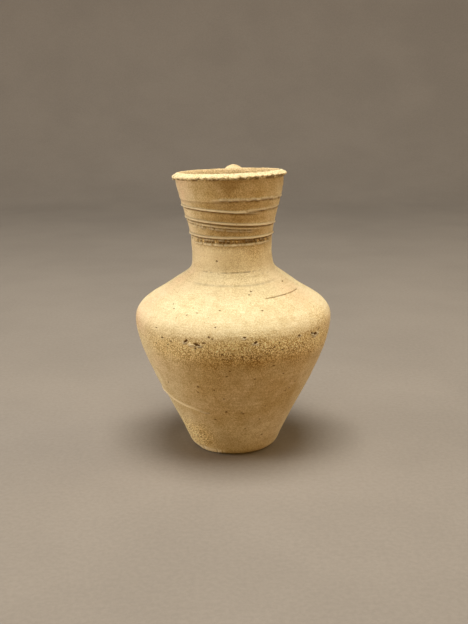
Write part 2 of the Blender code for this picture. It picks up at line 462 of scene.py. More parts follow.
@dataclass(frozen=True)
class Cut:
    """A thin line cut or dragged into the surface through a few places."""

    azimuths: tuple[float, ...]
    heights: tuple[float, ...]
    depth: float
    width: float
    fade: float = 4.0
    broken: float = 0.3
    burr: float = 0.0

    def strength(self, azimuth: Array, noise: ClayNoise) -> Array:
        """How deep the line runs at each azimuth, from 0 to 1."""
        window = Window(self.azimuths[0], self.azimuths[-1], self.fade).at(azimuth)
        gaps = noise.around(azimuth, 3.2, self.heights[0] + 2.0)
        return window * np.clip(1.0 + self.broken * (1.6 * gaps - 0.5), 0.0, 1.2)

    def across(self, azimuth: Array, height: Array, outline: Outline) -> Array:
        """Millimetres up the surface from the line."""
        line = np.interp(azimuth, self.azimuths, self.heights)
        return outline.run_at(height) - outline.run_at(line)

    def depth_at(self, azimuth: Array, height: Array, outline: Outline, noise: ClayNoise) -> Array:
        """Depth below the surface in millimetres, less where a burr stands up under the line."""
        apart = self.across(azimuth, height, outline)
        trough = self.depth * np.exp(-((apart / self.width) ** 2))
        burr = self.burr * np.exp(-(((apart + 1.7 * self.width) / self.width) ** 2))
        return self.strength(azimuth, noise) * (trough - burr)


class PitKind(Enum):
    """How a small hole in the surface looks."""

    HOLE = "a deep hole with a raised lower rim that catches the light"
    NICK = "a shallow dark nick"
    CHIP = "a pale flake that stands up"


@dataclass(frozen=True)
class Pit:
    """A hole, nick or chip on the outer surface."""

    azimuth: float
    height: float
    wide: float
    tall: float
    kind: PitKind = PitKind.NICK
    slant: float = 0.0

    def lit(self, azimuth: Array, height: Array, outline: Outline) -> Array:
        """Where pale is painted: fresh clay on a chip, and a painted highlight on the lower rim of a wide
        hole, which faces the light.
        """
        if self.kind is PitKind.NICK or (self.kind is PitKind.HOLE and self.wide < 1.2):
            return np.zeros_like(azimuth)
        away, up = self.spread(azimuth, height, outline)
        if self.kind is PitKind.CHIP:
            return 1.5 * np.exp(-(away**2))
        return 1.2 * np.exp(-(((away - 1.5) / 0.5) ** 2)) * smooth_step(0.3 - up)

    def frame(self, outline: Outline) -> tuple[Vector, Vector, Vector]:
        """Where the pit lies in metres, how it is turned, and its half sizes with its depth."""
        outward = Vector(outline.outward(self.azimuth, self.height))
        east = Vector((0.0, 0.0, 1.0)).cross(outward).normalized()
        up = outward.cross(east)
        turn = math.radians(self.slant)
        along = east * math.cos(turn) + up * math.sin(turn)
        axes = Matrix((along, outward.cross(along), outward)).transposed()
        middle = Vector(outline.surface(self.azimuth, self.height) * MM)
        wide, tall = max(self.wide, 0.8), max(self.tall, 0.65)
        return middle, Vector(axes.to_euler()), Vector((wide, tall, 5.0)) * (MM / 2.0)

    def spread(self, azimuth: Array, height: Array, outline: Outline) -> tuple[Array, Array]:
        """Distance from the middle as a share of the half size, and the share upward."""
        radius = float(outline.radius_at(self.height))
        across = np.radians(turn_apart(azimuth, self.azimuth)) * radius
        up = outline.run_at(height) - float(outline.run_at(self.height))
        turn = math.radians(self.slant)
        along = across * math.cos(turn) + up * math.sin(turn)
        over = up * math.cos(turn) - across * math.sin(turn)
        wide, tall = max(self.wide, 0.9) / 2.0, max(self.tall, 0.8) / 2.0
        return np.hypot(along / wide, over / tall), up / tall

    def relief(self, azimuth: Array, height: Array, outline: Outline) -> Array:
        """Millimetres out of the surface: a rounded bowl, and a rim under a hole."""
        away, up = self.spread(azimuth, height, outline)
        size = min(self.wide, self.tall)
        if self.kind is PitKind.CHIP:
            return 0.42 * size * np.exp(-(away**2))
        share = 0.65 if self.kind is PitKind.HOLE else 0.35
        bowl = -share * size * smooth_step(1.35 - away)
        if self.kind is PitKind.NICK:
            return bowl
        rim = 0.38 * size * np.exp(-(((away - 1.4) / 0.35) ** 2))
        return bowl + rim * smooth_step(0.4 - up)


def pits_of(kind: PitKind, *rows: tuple[float, ...]) -> list[Pit]:
    """Pits of one kind from rows of azimuth, height, width, height of the pit and slant."""
    return [Pit(*row[:4], kind, *row[4:]) for row in rows]


def front_pits() -> list[Pit]:
    """The holes and nicks of the side that shows, around the carination, shoulder and wall."""
    pits = pits_of(
        PitKind.HOLE,
        (53.0, 71.6, 3.0, 1.2, -8.0), (39.0, 73.2, 1.3, 0.8), (12.0, 72.7, 1.6, 1.0, 35.0),
        (49.6, 72.6, 1.5, 0.8, -35.0), (-26.5, 72.6, 2.2, 1.0, 40.0), (28.0, 67.3, 1.1, 0.8),
        (26.0, 71.5, 0.8, 0.7), (6.0, 75.5, 1.7, 0.7), (-20.0, 71.4, 3.2, 1.0, -14.0), (17.0, 93.9, 1.0, 0.8),
    )
    pits += pits_of(
        PitKind.NICK,
        (56.6, 72.9, 1.9, 0.7, 48.0), (23.0, 69.5, 0.7, 0.5),
        (15.0, 64.1, 0.8, 0.6), (5.0, 65.2, 0.9, 0.6), (-16.0, 72.4, 1.7, 0.5),
        (-13.0, 75.6, 1.0, 0.5, -25.0), (-11.3, 74.8, 0.9, 0.5, -40.0), (-48.0, 76.3, 1.0, 0.7),
        (-49.0, 67.9, 0.8, 0.7), (-43.0, 72.1, 1.6, 0.5), (-39.0, 69.0, 0.8, 0.6),
        (-6.0, 66.7, 1.0, 0.6, 20.0), (-21.0, 69.3, 1.1, 1.0), (-36.5, 71.3, 0.7, 0.5),
        (14.0, 92.6, 0.6, 0.5), (20.0, 86.3, 1.2, 0.7, 25.0), (-47.0, 87.3, 0.6, 0.5),
        (-43.0, 85.8, 0.9, 0.6), (-30.0, 84.2, 0.9, 0.6, 15.0), (-24.0, 85.5, 0.8, 0.6),
        (-9.0, 86.9, 0.7, 0.6), (-24.0, 46.1, 1.1, 0.8), (-25.0, 42.5, 0.8, 0.9),
        (-13.0, 44.7, 0.6, 0.6), (-7.0, 39.4, 0.7, 0.5), (-6.0, 30.6, 1.0, 0.8),
        (6.0, 29.9, 1.0, 0.6), (7.6, 29.2, 0.8, 0.5), (-16.0, 25.1, 0.8, 0.7),
        (-60.0, 17.1, 0.8, 0.7), (-34.0, 12.5, 0.7, 0.6), (11.0, 18.7, 0.7, 0.6),
        (13.0, 51.7, 0.8, 0.5), (42.0, 42.1, 0.7, 0.9), (39.0, 41.1, 0.9, 0.7),
        (46.0, 45.2, 0.8, 0.5), (31.0, 12.7, 1.1, 0.8), (25.0, 33.1, 0.7, 0.6),
        (23.0, 24.3, 0.8, 0.6), (24.0, 58.8, 0.8, 0.6), (32.0, 52.8, 0.7, 0.7),
        (-21.3, 107.9, 1.1, 0.8), (62.0, 95.3, 1.2, 0.8), (-2.0, 57.0, 0.9, 0.5),
        (-4.0, 53.9, 0.7, 0.5), (-51.0, 44.2, 0.7, 0.6), (-10.0, 80.4, 0.8, 0.5),
    )
    return pits + pits_of(
        PitKind.CHIP,
        (-23.6, 70.9, 2.6, 1.3, -20.0), (-21.0, 69.3, 0.7, 0.7), (52.8, 70.3, 2.8, 0.9),
        (56.0, 71.4, 1.1, 1.3, 30.0), (50.6, 71.2, 1.0, 0.9), (13.0, 71.9, 1.2, 0.7, 20.0),
    )


def hidden_pits(count: int, seed: int) -> list[Pit]:
    """A plain scatter of nicks and a few holes for the sides that don't show.

    Args:
        count: How many there are.
        seed: Seed of the draw.

    Returns:
        Pits between azimuth 80 and 280, most of them around the carination.
    """
    draw = np.random.default_rng(seed)
    azimuths = draw.uniform(82.0, 278.0, count)
    by_carination = draw.random(count) < 0.55
    heights = np.where(by_carination, draw.normal(71.0, 5.0, count), draw.uniform(10.0, 98.0, count))
    sizes = 0.6 + draw.gamma(1.4, 0.35, count)
    slants = draw.uniform(-40.0, 40.0, count)
    kinds = np.where(sizes > 1.35, PitKind.HOLE, PitKind.NICK)
    return [
        Pit(azimuth, height, size, size * 0.7, kind, slant)
        for azimuth, height, size, kind, slant in zip(azimuths, heights, sizes, kinds, slants)
    ]


@dataclass
class Ledge:
    """The low ledge that a slipped tool left around the lower left wall."""

    azimuths: tuple[float, ...] = (-120.0, -100.0, -85.0, -70.0, -61.0, -52.0, -42.0, -33.0, -24.0)
    heights: tuple[float, ...] = (33.6, 34.0, 34.7, 36.0, 34.9, 33.2, 31.9, 30.9, 29.1)
    home: float = 31.5
    proud: float = 0.42
    fin: float = 0.52
    recess: float = 0.62
    step: float = 0.7
    reach: float = 4.5

    def line(self, azimuth: Array) -> Array:
        """The ledge's height, straight between its places."""
        return np.interp(azimuth, self.azimuths, self.heights)

    def shown(self, azimuth: Array, end: float, fade: float) -> Array:
        """1 along the ledge, from a soft start behind the left side to a soft end in front."""
        return step_up(azimuth, self.azimuths[0], 30.0) * (1.0 - step_up(azimuth, end, fade))

    def strength(self, azimuth: Array) -> Array:
        """How fully the ledge's step stands."""
        return self.shown(azimuth, -36.0, 14.0)

    def relief(self, azimuth: Array, height: Array) -> Array:
        """Proud above the line, then one step down to a recess that fades below."""
        above = height - self.line(azimuth)
        down = np.maximum(-above, 0.0)
        top = self.proud * np.exp(-np.maximum(above, 0.0) / 2.6)
        drop = self.proud - (self.proud + self.recess) * smooth_step(down / self.step)
        low = drop * np.exp(-np.maximum(down - self.step, 0.0) / self.reach)
        seen = 0.35 + 0.65 * step_up(azimuth, -84.0, 22.0)
        edge = self.fin * self.edge(azimuth) * hump(above, 0.0, 0.50)
        return seen * (self.strength(azimuth) * np.where(above >= 0.0, top, low) + edge)

    def edge(self, azimuth: Array) -> Array:
        """How sharp the ledge's edge is: it runs on a little further forward than the step."""
        return self.shown(azimuth, -26.0, 7.0)

    def crest(self, azimuth: Array, height: Array) -> Array:
        """A painted highlight along the ledge's edge, where it faces the light."""
        return 1.9 * self.edge(azimuth) * hump(height - self.line(azimuth), 0.15, 0.60)


@dataclass
class Lip:
    """The out-turned lip: crumbly lower edge, bevel up to the crest, fall into the mouth."""

    radii: tuple[float, ...] = (
        29.30, 29.90, 30.35, 30.52, 30.48, 30.20, 29.55, 28.75, 27.95, 27.25, 26.75, 26.35, 26.00,
        25.60,
    )
    heights: tuple[float, ...] = (
        149.16, 149.22, 149.44, 149.84, 150.36, 150.84, 151.34, 151.82, 152.20, 152.43, 152.46, 152.24,
        151.66, 150.80,
    )
    frayed: tuple[float, ...] = (0.35, 0.9, 1.0, 0.8, 0.5, 0.3, 0.2, 0.15, 0.1, 0.1, 0.1, 0.1, 0.1, 0.0)
    hang: float = 0.42
    lift: float = 1.0
    bite: float = 0.60
    pitted: float = 0.21
    lowest: float = 148.25

    def grid(self, azimuth: Array, noise: ClayNoise) -> tuple[Array, Array]:
        """Radii and heights of the lip's rows at each azimuth.

        The lower edge hangs and is bitten back by noise of three spacings, as much as each row
        is frayed. The bevel and crest only undulate.
        """
        crumbs = 0.5 * noise.around(azimuth, 5.2, 3.0) + 0.7 * noise.around(azimuth, 2.4, 7.0)
        crumbs = crumbs + 1.1 * noise.around(azimuth, 1.5, 11.0)
        bites = 0.6 * noise.around(azimuth, 3.4, 15.0) + 1.1 * noise.around(azimuth, 1.6, 19.0)
        sway = noise.around(azimuth, 24.0, 23.0)
        frayed = np.array(self.frayed)[:, None]
        drawn_up = self.lift * (0.5 + 0.5 * np.cos(np.radians(azimuth - 50.0)))
        radii = np.array(self.radii)[:, None] + frayed * self.bite * np.minimum(bites, 0.5)[None]
        heights = np.array(self.heights)[:, None] + frayed * (drawn_up - self.hang * crumbs)[None]
        heights = np.maximum(heights, self.lowest) + 0.12 * sway[None]
        radii = radii + 0.15 * noise.around(azimuth, 15.0, 27.0)[None]
        angle = np.radians(azimuth)[None]
        place = np.stack([radii * np.cos(angle), radii * np.sin(angle), heights], axis=-1)
        grains = noise.lumps(place, 0.9)
        return radii + 0.6 * self.pitted * grains, heights + self.pitted * grains


@dataclass
class Surface:
    """A grid of points with the shares of finish that the material reads at each."""

    points: Array
    shares: dict[str, Array]


@dataclass
class Vessel:
    """The hollow turned vessel with every mark of its making and wear.

    The lumps' rows hold how proud the swells stand and how wide they are. Guided are the heights
    of the ridges that the grid's rows follow, and unmoved are those where the rows stay level.
    """

    outline: Outline
    noise: ClayNoise
    columns: int = 284
    ridges: tuple[Ridge, ...] = (
        Ridge(
            139.3, 0.55, 0.44, 0.24, Window(-25.0, 200.0, 25.0),
            ragged=0.5, band=0.38, wander=0.26, light=1.5,
        ),
        Ridge(138.6, 0.30, 0.12, 0.22, Window(-175.0, 10.0, 25.0), ragged=0.3, light=0.2, painted_shade=0.5),
        Ridge(
            133.3, 2.10, 0.82, 0.46, Window(-122.0, 44.0, 34.0),
            ragged=0.2, band=0.36, wander=0.05, light=1.6,
        ),
        Ridge(
            133.4, 0.00, 0.34, 0.20, Window(4.0, 252.0, 30.0),
            ragged=0.5, band=0.38, wander=0.16, rise=2.9, light=1.1,
        ),
        Ridge(127.2, 2.10, 0.80, 0.42, ragged=0.22, band=0.36, wander=0.06, light=1.55),
        Ridge(
            125.3, 2.10, 0.46, 0.36, Window(-100.0, 48.0, 24.0),
            ragged=0.5, band=0.34, light=1.5, painted_shade=1.1,
        ),
        Ridge(
            123.9, 2.00, 0.28, 0.26, Window(-60.0, 36.0, 16.0),
            ragged=0.9, band=0.35, wander=0.14, light=1.3, painted_shade=0.6,
        ),
        Ridge(119.9, 0.70, 0.82, 0.34, ragged=0.28, band=0.36, wander=0.08, light=1.6),
        Ridge(
            118.4, 0.60, 0.34, 0.36, Window(-85.0, 75.0, 20.0),
            ragged=1.1, band=0.34, wander=0.30, light=1.7,
        ),
        Ridge(
            116.2, 0.30, 0.66, 0.16, Window(-68.0, 76.0, 24.0),
            ragged=0.60, wander=0.30, light=2.2, painted_shade=0.1,
        ),
    )
    ledge: Ledge = field(default_factory=Ledge)
    lip: Lip = field(default_factory=Lip)
    cuts: tuple[Cut, ...] = (
        Cut((-46.0, -20.0, 0.0, 20.0, 44.0), (101.9, 101.8, 101.8, 101.9, 102.0), 0.20, 0.26, 6.0, 0.60),
        Cut((-52.0, 0.0, 30.0, 60.0), (96.5, 96.2, 96.3, 97.0), 0.10, 0.80, 18.0, 0.25),
        Cut((25.0, 36.0, 45.0, 72.0), (90.5, 90.6, 90.75, 90.9), 0.45, 0.30, 4.0, 0.35, 0.08),
        Cut((-63.2, -61.8), (98.0, 99.3), 0.35, 0.30, 0.5, 0.0),
        Cut((-61.0, -47.0), (32.8, 30.5), 0.22, 0.35, 3.0, 0.2, 0.10),
        Cut((-34.0, -18.0), (30.2, 29.0), 0.12, 0.35, 4.0, 0.4, 0.16),
        Cut((18.0, 60.0), (99.6, 100.4), 0.10, 0.30, 12.0, 0.8),
    )
    pits: list[Pit] = field(default_factory=list)
    handle_azimuth: float = 178.0
    mounds: tuple[tuple[float, ...], ...] = ((87.0, 1.9, 9.5, 6.5), (146.5, 1.0, 9.0, 3.6))
    body_lumps: tuple[tuple[float, float], ...] = ((0.22, 26.0), (0.10, 8.0), (0.035, 2.6))
    neck_lumps: tuple[tuple[float, float], ...] = ((0.07, 14.0), (0.035, 3.0))
    torn_bands: tuple[Band, ...] = (
        Band(1.2, 117.6, 1.7, Window(-75.0, 75.0, 30.0)),
        Band(0.25, 111.0, 4.0, Window(-30.0, 60.0, 20.0)),
        Band(1.2, 11.0, 10.0, Window(-84.0, -10.0, 30.0)),
        Band(0.26, 77.0, 7.0, Window(48.0, 80.0, 12.0)),
    )
    # Painted light: a highlight on the front of the waist and on the foot's torn rim, and painted shade in
    # the groove under the ridge at 118.4.
    painted_waist_highlight: Band = Band(0.45, 111.0, 5.0, Window(-85.0, 40.0, 40.0))
    painted_foot_highlight: Band = Band(2.6, 1.9, 1.0, Window(-76.0, -8.0, 12.0))
    painted_groove_shade: Band = Band(1.2, 117.8, 0.6, Window(-46.0, 70.0, 34.0))
    # Painted shade: a shadow line under the lip, a band under the carination's front and patches down the
    # front of the neck; then a painted shade cloud on the lower wall's front.
    painted_shade_marks: tuple[Patch | Band, ...] = (
        Band(0.3, 148.2, 1.0),
        Band(0.12, 66.5, 5.0, Window(-75.0, 75.0, 25.0)),
        Patch(0.4, 4.0, 42.0, 136.5, 1.8),
        Patch(0.4, 4.0, 42.0, 134.6, 1.0),
        Patch(0.55, 4.0, 42.0, 130.0, 1.6),
        Patch(0.6, 4.0, 42.0, 122.3, 1.5),
    )
    painted_shade_cloud: Patch = Patch(0.65, 4.0, 28.0, 61.5, 5.0)
    blush_patches: tuple[Patch, ...] = (
        Patch(1.0, -72.0, 24.0, 94.0, 13.0),
        Patch(1.0, -84.0, 20.0, 73.0, 6.0),
        Patch(0.45, 70.0, 16.0, 75.5, 4.5),
        Patch(0.5, 64.0, 22.0, 88.0, 10.0),
        Patch(0.4, -70.0, 20.0, 55.0, 10.0),
    )
    # Painted light that makes the front of the waist and the right of the carination paler.
    painted_waist_light: Band = Band(0.95, 110.5, 4.2, Window(-48.0, 26.0, 26.0))
    painted_carination_light: Patch = Patch(0.5, 72.0, 16.0, 75.0, 6.0)
    guided: tuple[float, ...] = (116.2, 119.9, 123.9, 127.2, 139.3)
    unmoved: tuple[float, ...] = (14.0, 56.0, 111.0, 147.0)
    row_places: tuple[float, ...] = (
        0.0, 4.0, 10.0, 24.0, 27.0, 37.0, 42.0, 58.0, 62.0, 68.0, 70.0, 76.5, 80.0, 88.0,
        89.6, 91.6, 93.0, 95.5, 97.0, 98.5, 101.0, 102.8, 104.5, 108.0, 113.0, 115.0, 149.2,
    )
    row_steps: tuple[float, ...] = (
        0.42, 0.70, 1.10, 1.10, 0.65, 0.65, 1.15, 1.15, 0.85, 0.70, 0.50, 0.50, 0.85, 0.95,
        0.34, 0.34, 0.90, 0.42, 0.42, 0.90, 0.36, 0.36, 0.75, 0.75, 0.70, 0.43, 0.43,
    )
    inner_rows: int = 38
    underside_rows: int = 5

    def azimuths(self) -> Array:
        """The columns, closer together on the side that shows and around its big pits."""
        dense = np.linspace(-180.0, 180.0, 3601)
        weight = 0.55 + step_down(np.abs(dense), 100.0, 15.0)
        weight += 0.9 * hump(dense, 53.0, 6.0) + 0.6 * hump(dense, -23.0, 7.0)
        total = added_up((weight[1:] + weight[:-1]) / 2.0)
        shares = np.arange(self.columns) / self.columns
        return np.interp(shares * total[-1], total, dense)

    def rows(self) -> Array:
        """Heights of the outer rows: steps along the outline as fine as the marks there need.

        A row is moved onto each ridge's crest and onto the ledge, which the rows then follow.
        """
        step = np.interp(self.outline.line[:, 1], self.row_places, self.row_steps)
        count = added_up((1.0 / step[1:] + 1.0 / step[:-1]) / 2.0 * np.diff(self.outline.run))
        wanted = np.linspace(0.0, count[-1], int(round(count[-1])) + 1)
        heights = np.interp(wanted, count, self.outline.line[:, 1])
        for crest in [ridge.height for ridge in self.ridges] + [self.ledge.home]:
            heights[np.argmin(np.abs(heights - crest))] = crest
        return np.unique(heights)

    def followed(self, heights: Array, azimuths: Array) -> Array:
        """Shift the rows so that they run along the tilted ridges and the ledge.

        Each guide line has a home height and a shift at every azimuth. A row between two guides
        takes their shifts in proportion.
        """
        sine = np.sin(np.radians(azimuths))
        spiral = Ridge(133.4, 0.0, 0.0, 0.0, Window(10.0, 252.0), rise=2.9, wander=0.0)
        first = Ridge(133.3, 2.10, 0.0, 0.0, wander=0.0)
        share = Window(-122.0, 62.0, 42.0).at(azimuths)
        second = share * first.line(azimuths, self.noise)
        second += (1.0 - share) * spiral.line(azimuths, self.noise) - first.height
        ledge_share = step_up(azimuths, -128.0, 16.0) * (1.0 - step_up(azimuths, -20.0, 30.0))
        guides = {height: np.zeros_like(sine) for height in self.unmoved}
        guides |= {ridge.height: -ridge.fall * sine for ridge in self.ridges if ridge.height in self.guided}
        guides[self.ledge.home] = ledge_share * (self.ledge.line(azimuths) - self.ledge.home)
        guides[first.height] = second
        homes = sorted(guides)
        hats = np.stack([np.interp(heights, homes, unit) for unit in np.eye(len(homes))])
        return heights[:, None] + hats.T @ np.stack([guides[home] for home in homes])

    def relief(self, azimuth: Array, height: Array, points: Array) -> Array:
        """Every mark of the outer surface together, in millimetres along its normal.

        Args:
            azimuth: Degrees at each grid point.
            height: Millimetres before the lean.
            points: The plain surface's places, for noise in space.

        Returns:
            How far each point moves outward.
        """
        total = sum(ridge.relief(azimuth, height, self.noise) for ridge in self.ridges)
        total = total + self.ledge.relief(azimuth, height) * (1.0 + 0.2 * self.noise.lumps(points, 2.5))
        total = total - sum(cut.depth_at(azimuth, height, self.outline, self.noise) for cut in self.cuts)
        total = total + sum(pit.relief(azimuth, height, self.outline) for pit in self.pits)
        total = total + self.burr(azimuth, height) + self.luting(azimuth, height)
        total = total + self.thrown_lines(azimuth, height) - self.slimming(azimuth, height)
        body = sum(proud * self.noise.lumps(points, size) for proud, size in self.body_lumps)
        neck = sum(proud * self.noise.lumps(points, size) for proud, size in self.neck_lumps)
        rough = 0.15 * self.grit(azimuth, height, points) * self.noise.layered(points, 1.7, 2)
        on_neck = step_up(height, 104.0, 8.0)
        return total + ((1.0 - on_neck) * body + on_neck * neck + rough) * step_up(height, 0.0, 3.0)

    def slimming(self, azimuth: Array, height: Array) -> Array:
        """How far the ribbed neck lies inside the plain outline, most on the left."""
        share = step_up(height, 114.0, 6.0) * step_down(height, 148.0, 6.0)
        return share * (0.30 - 0.18 * np.sin(np.radians(azimuth)))

    def luting(self, azimuth: Array, height: Array) -> Array:
        """The low mounds of clay smoothed around both ends of the handle."""
        across = np.radians(turn_apart(azimuth, self.handle_azimuth)) * self.outline.radius_at(height)
        total = np.zeros_like(azimuth)
        for middle, proud, wide, tall in self.mounds:
            up = self.outline.run_at(height) - self.outline.run_at(middle)
            total = total + proud * np.exp(-((across / wide) ** 2) - (up / tall) ** 2)
        return total

    def thrown_lines(self, azimuth: Array, height: Array) -> Array:
        """Fine lines that the fingers left, level rings whose depth drifts around the vessel."""
        fine = self.noise.rings(azimuth, height, 1.2, 1.25)
        broad = self.noise.rings(azimuth, height, 0.8, 4.2, 9.0)
        finest = self.noise.rings(azimuth, height, 1.6, 0.62, 4.0)
        neck, top = step_up(height, 106.0, 6.0), step_up(height, 140.0, 2.0)
        shoulder = hump(height, 97.0, 7.0)
        wall = step_down(height, 66.0, 6.0) * step_up(height, 4.0, 6.0)
        total = finest * (0.05 * top + 0.02 * neck) + broad * (0.08 * shoulder + 0.12 * wall)
        return total + fine * (0.05 * neck + 0.07 * top + 0.03 * shoulder + 0.02 * wall)

    def grit(self, azimuth: Array, height: Array, points: Array) -> Array:
        """Where the grain is torn: a band under the carination, patches by neck and foot."""
        top = 80.0 - 4.0 * step_up(azimuth, 45.0, 25.0)
        band = step_up(height, 53.0, 14.0) * step_down(height, top, 12.0)
        band = band * (0.35 + 0.75 * np.cos(np.radians(azimuth - 15.0)))
        around = 0.25 * step_up(height, 56.0, 8.0) * step_down(height, 80.0, 9.0)
        patches = 0.12 + 0.18 * smooth_step(self.noise.lumps(points, 11.0) + 0.4)
        torn = together(self.torn_bands, azimuth, height)
        return np.clip(np.maximum(band, around) + torn + patches, 0.0, 1.3)

    def burr(self, azimuth: Array, height: Array) -> Array:
        """The thin torn rim of clay at the front left of the foot, and a low one all around."""
        front = Window(-60.0, -10.0, 14.0).at(azimuth)
        torn = 0.75 + 0.5 * self.noise.around(azimuth, 3.0, 31.0)
        low = 0.12 * self.noise.around(azimuth, 12.0, 37.0) * hump(height, 1.5, 1.6)
        rim = 0.5 * hump(height, 1.0, 0.6) - 0.35 * hump(height, 2.7, 0.9)
        return rim * front * np.clip(torn, 0.3, 1.2) + low

    def crests(self, azimuth: Array, height: Array) -> Array:
        """Where pale is painted: highlights along the ridges, the ledge, the waist's front, the lower rims of
        wide holes and the foot's rim, and pale fresh clay on chips.
        """
        total = sum(ridge.crest(azimuth, height, self.noise) for ridge in self.ridges)
        total = total + self.ledge.crest(azimuth, height) + self.painted_waist_highlight.at(azimuth, height)
        total = total + sum(pit.lit(azimuth, height, self.outline) for pit in self.pits)
        ragged = np.clip(0.7 + 0.9 * self.noise.around(azimuth, 1.9, 61.0), 0.0, 1.4)
        return np.clip(total + ragged * self.painted_foot_highlight.at(azimuth, height), 0.0, 1.2)

    def grooves(self, azimuth: Array, height: Array) -> Array:
        """Where painted shade darkens the surface: in the steps under the ridges, in the cuts and in the
        groove under the ridge at 118.4.
        """
        total = sum(ridge.groove(azimuth, height, self.noise) for ridge in self.ridges)
        torn = np.clip(0.6 + 0.8 * self.noise.around(azimuth, 2.4, 41.0), 0.0, 1.0)
        for cut in self.cuts:
            depth = cut.depth_at(azimuth, height, self.outline, self.noise)
            total = total + np.clip(depth / 0.22, 0.0, 1.0)
        return np.clip(total + torn * self.painted_groove_shade.at(azimuth, height), 0.0, 1.3)

    def stains_and_shade(self, azimuth: Array, height: Array, points: Array) -> Array:
        """A real brown drip under the lip, and painted shade: a cloud under the torn band, a line under the
        lip, a band under the carination and patches down the front of the neck.
        """
        half = 2.0 + 9.0 * step_up(height, 141.5, 7.0)
        drip = smooth_step(1.5 - np.abs(turn_apart(azimuth, -1.0)) / half) * step_up(height, 139.5, 4.0)
        uneven = 0.6 + 0.5 * smooth_step(0.5 + 0.9 * self.noise.lumps(points, 13.0))
        cloud = self.painted_shade_cloud.at(azimuth, height) * uneven
        return np.clip(0.85 * drip + cloud + together(self.painted_shade_marks, azimuth, height), 0.0, 1.2)

    def blush(self, azimuth: Array, height: Array, points: Array) -> Array:
        """Pinkish fired patches: left of the neck, both sides of the carination, the mouth."""
        neck = 0.8 * hump(turn_apart(azimuth, -75.0), 0.0, 26.0) * step_up(height, 108.0, 6.0)
        cloud = smooth_step(0.55 + 0.8 * self.noise.lumps(points, 16.0))
        patches = together(self.blush_patches, azimuth, height) + neck
        return np.clip(patches * (0.55 + 0.6 * cloud) + 0.15 * cloud, 0.0, 1.0)

    def bloom_and_light(self, azimuth: Array, height: Array, points: Array) -> Array:
        """The pale bloom of the surface with painted light: full on the shoulder, which faces the light, thin
        on neck and lower wall, and paler as painted light on the lower wall's sides, the foot, the neck's
        left, the waist's front and the carination's right.
        """
        edge = 60.0 - 5.0 * step_down(azimuth, -5.0, 35.0) - 4.5 * step_up(azimuth, 38.0, 30.0)
        shoulder = step_up(height, edge, 11.0) * (1.0 - step_up(height, 106.5, 10.0))
        left, right = step_down(azimuth, -20.0, 50.0), step_up(azimuth, 30.0, 50.0)
        side = 0.05 + 0.66 * left + 0.50 * right + 0.35 * step_down(height, 30.0, 18.0)
        side = side + 0.25 * left * step_up(height, 108.0, 8.0) + self.painted_carination_light.at(azimuth, height)
        total = shoulder + side * (1.0 - shoulder) + step_up(height, 149.0, 1.0)
        total = total + self.painted_waist_light.at(azimuth, height) + 0.10 * self.noise.layered(points, 18.0, 2)
        return np.clip(total, 0.0, 1.15)

    def build(self) -> Surface:
        """Carry the outline around the axis, rows from underside to inner floor.

        The first and last rows are at the axis and become poles.

        Returns:
            The grid in millimetres, and the shares of finish at each point.
        """
        azimuths = self.azimuths()
        heights = self.followed(self.rows(), azimuths)
        azimuth = np.broadcast_to(azimuths, heights.shape)
        radius = self.outline.radius_at(heights)
        tilt = self.outline.tilt_at(heights)
        plain = self.outline.place(azimuth, radius, heights)
        proud = self.relief(azimuth, heights, plain)
        radius = radius + proud * np.cos(tilt)
        raised = np.maximum(heights + proud * np.sin(tilt), 0.0)
        lip_radius, lip_height = self.lip.grid(azimuths, self.noise)
        inner_radius, inner_height = self.inner(azimuths)
        under = np.linspace(0.0, 1.0, self.underside_rows + 1)[1:-1, None] * radius[:1]
        all_radius = np.concatenate([0.0 * under[:1], under, radius, lip_radius, inner_radius])
        all_height = np.concatenate([0.0 * under[:1], 0.0 * under, raised, lip_height, inner_height])
        around = np.broadcast_to(azimuths, all_radius.shape)
        points = self.outline.place(around, all_radius, all_height)
        return Surface(points, self.shares(azimuths, heights, lip_height, points, len(under) + 1))

    def inner(self, azimuths: Array) -> tuple[Array, Array]:
        """Radii and heights of the inner wall's rows, with the rings that fingers left there."""
        line = self.outline.hollow()
        run = added_up(np.hypot(*np.diff(line, axis=0).T))
        shares = np.linspace(0.0, 1.0, self.inner_rows + 1)[1:] ** 1.25
        radii = np.interp(shares * run[-1], run, line[:, 0])[:, None]
        heights = np.interp(shares * run[-1], run, line[:, 1])[:, None]
        heights, angle = np.broadcast_arrays(heights, np.radians(azimuths)[None])
        place = np.stack([np.cos(angle), np.sin(angle), heights / 3.0], axis=-1) + 5.0
        rings = 0.16 * self.noise.lumps(place, 1.0) * smooth_step(radii / 12.0)
        return radii + rings, heights

    def shares(
        self, azimuths: Array, heights: Array, lip_height: Array, points: Array, under: int
    ) -> dict[str, Array]:
        """The shares of finish on every row: worked out outside, plain under and inside."""
        outer = slice(under, under + len(heights))
        lip = slice(outer.stop, outer.stop + len(lip_height))
        inward = slice(lip.start + 10, lip.stop)
        inside = slice(lip.stop, None)
        azimuth = np.broadcast_to(azimuths, heights.shape)
        shares = {name: np.zeros(points.shape[:2]) for name in SHARES}
        shares["crest"][outer] = self.crests(azimuth, heights)
        shares["groove"][outer] = self.grooves(azimuth, heights)
        makers = {"grit": self.grit, "stain_and_shade": self.stains_and_shade, "blush": self.blush, "bloom_and_light": self.bloom_and_light}
        for name, maker in makers.items():
            shares[name][outer] = maker(azimuth, heights, points[outer])
        # Pale on the lip's top and bevel is a painted highlight where the lip faces the light; it is weaker
        # on the fall into the mouth and absent on the lip's two lowest rows.
        shares["crest"][lip] = 0.65 + 0.35 * self.noise.lumps(points[lip], 1.1)
        shares["crest"][lip.start : lip.start + 2] = 0.0
        shares["crest"][inward] *= 0.3
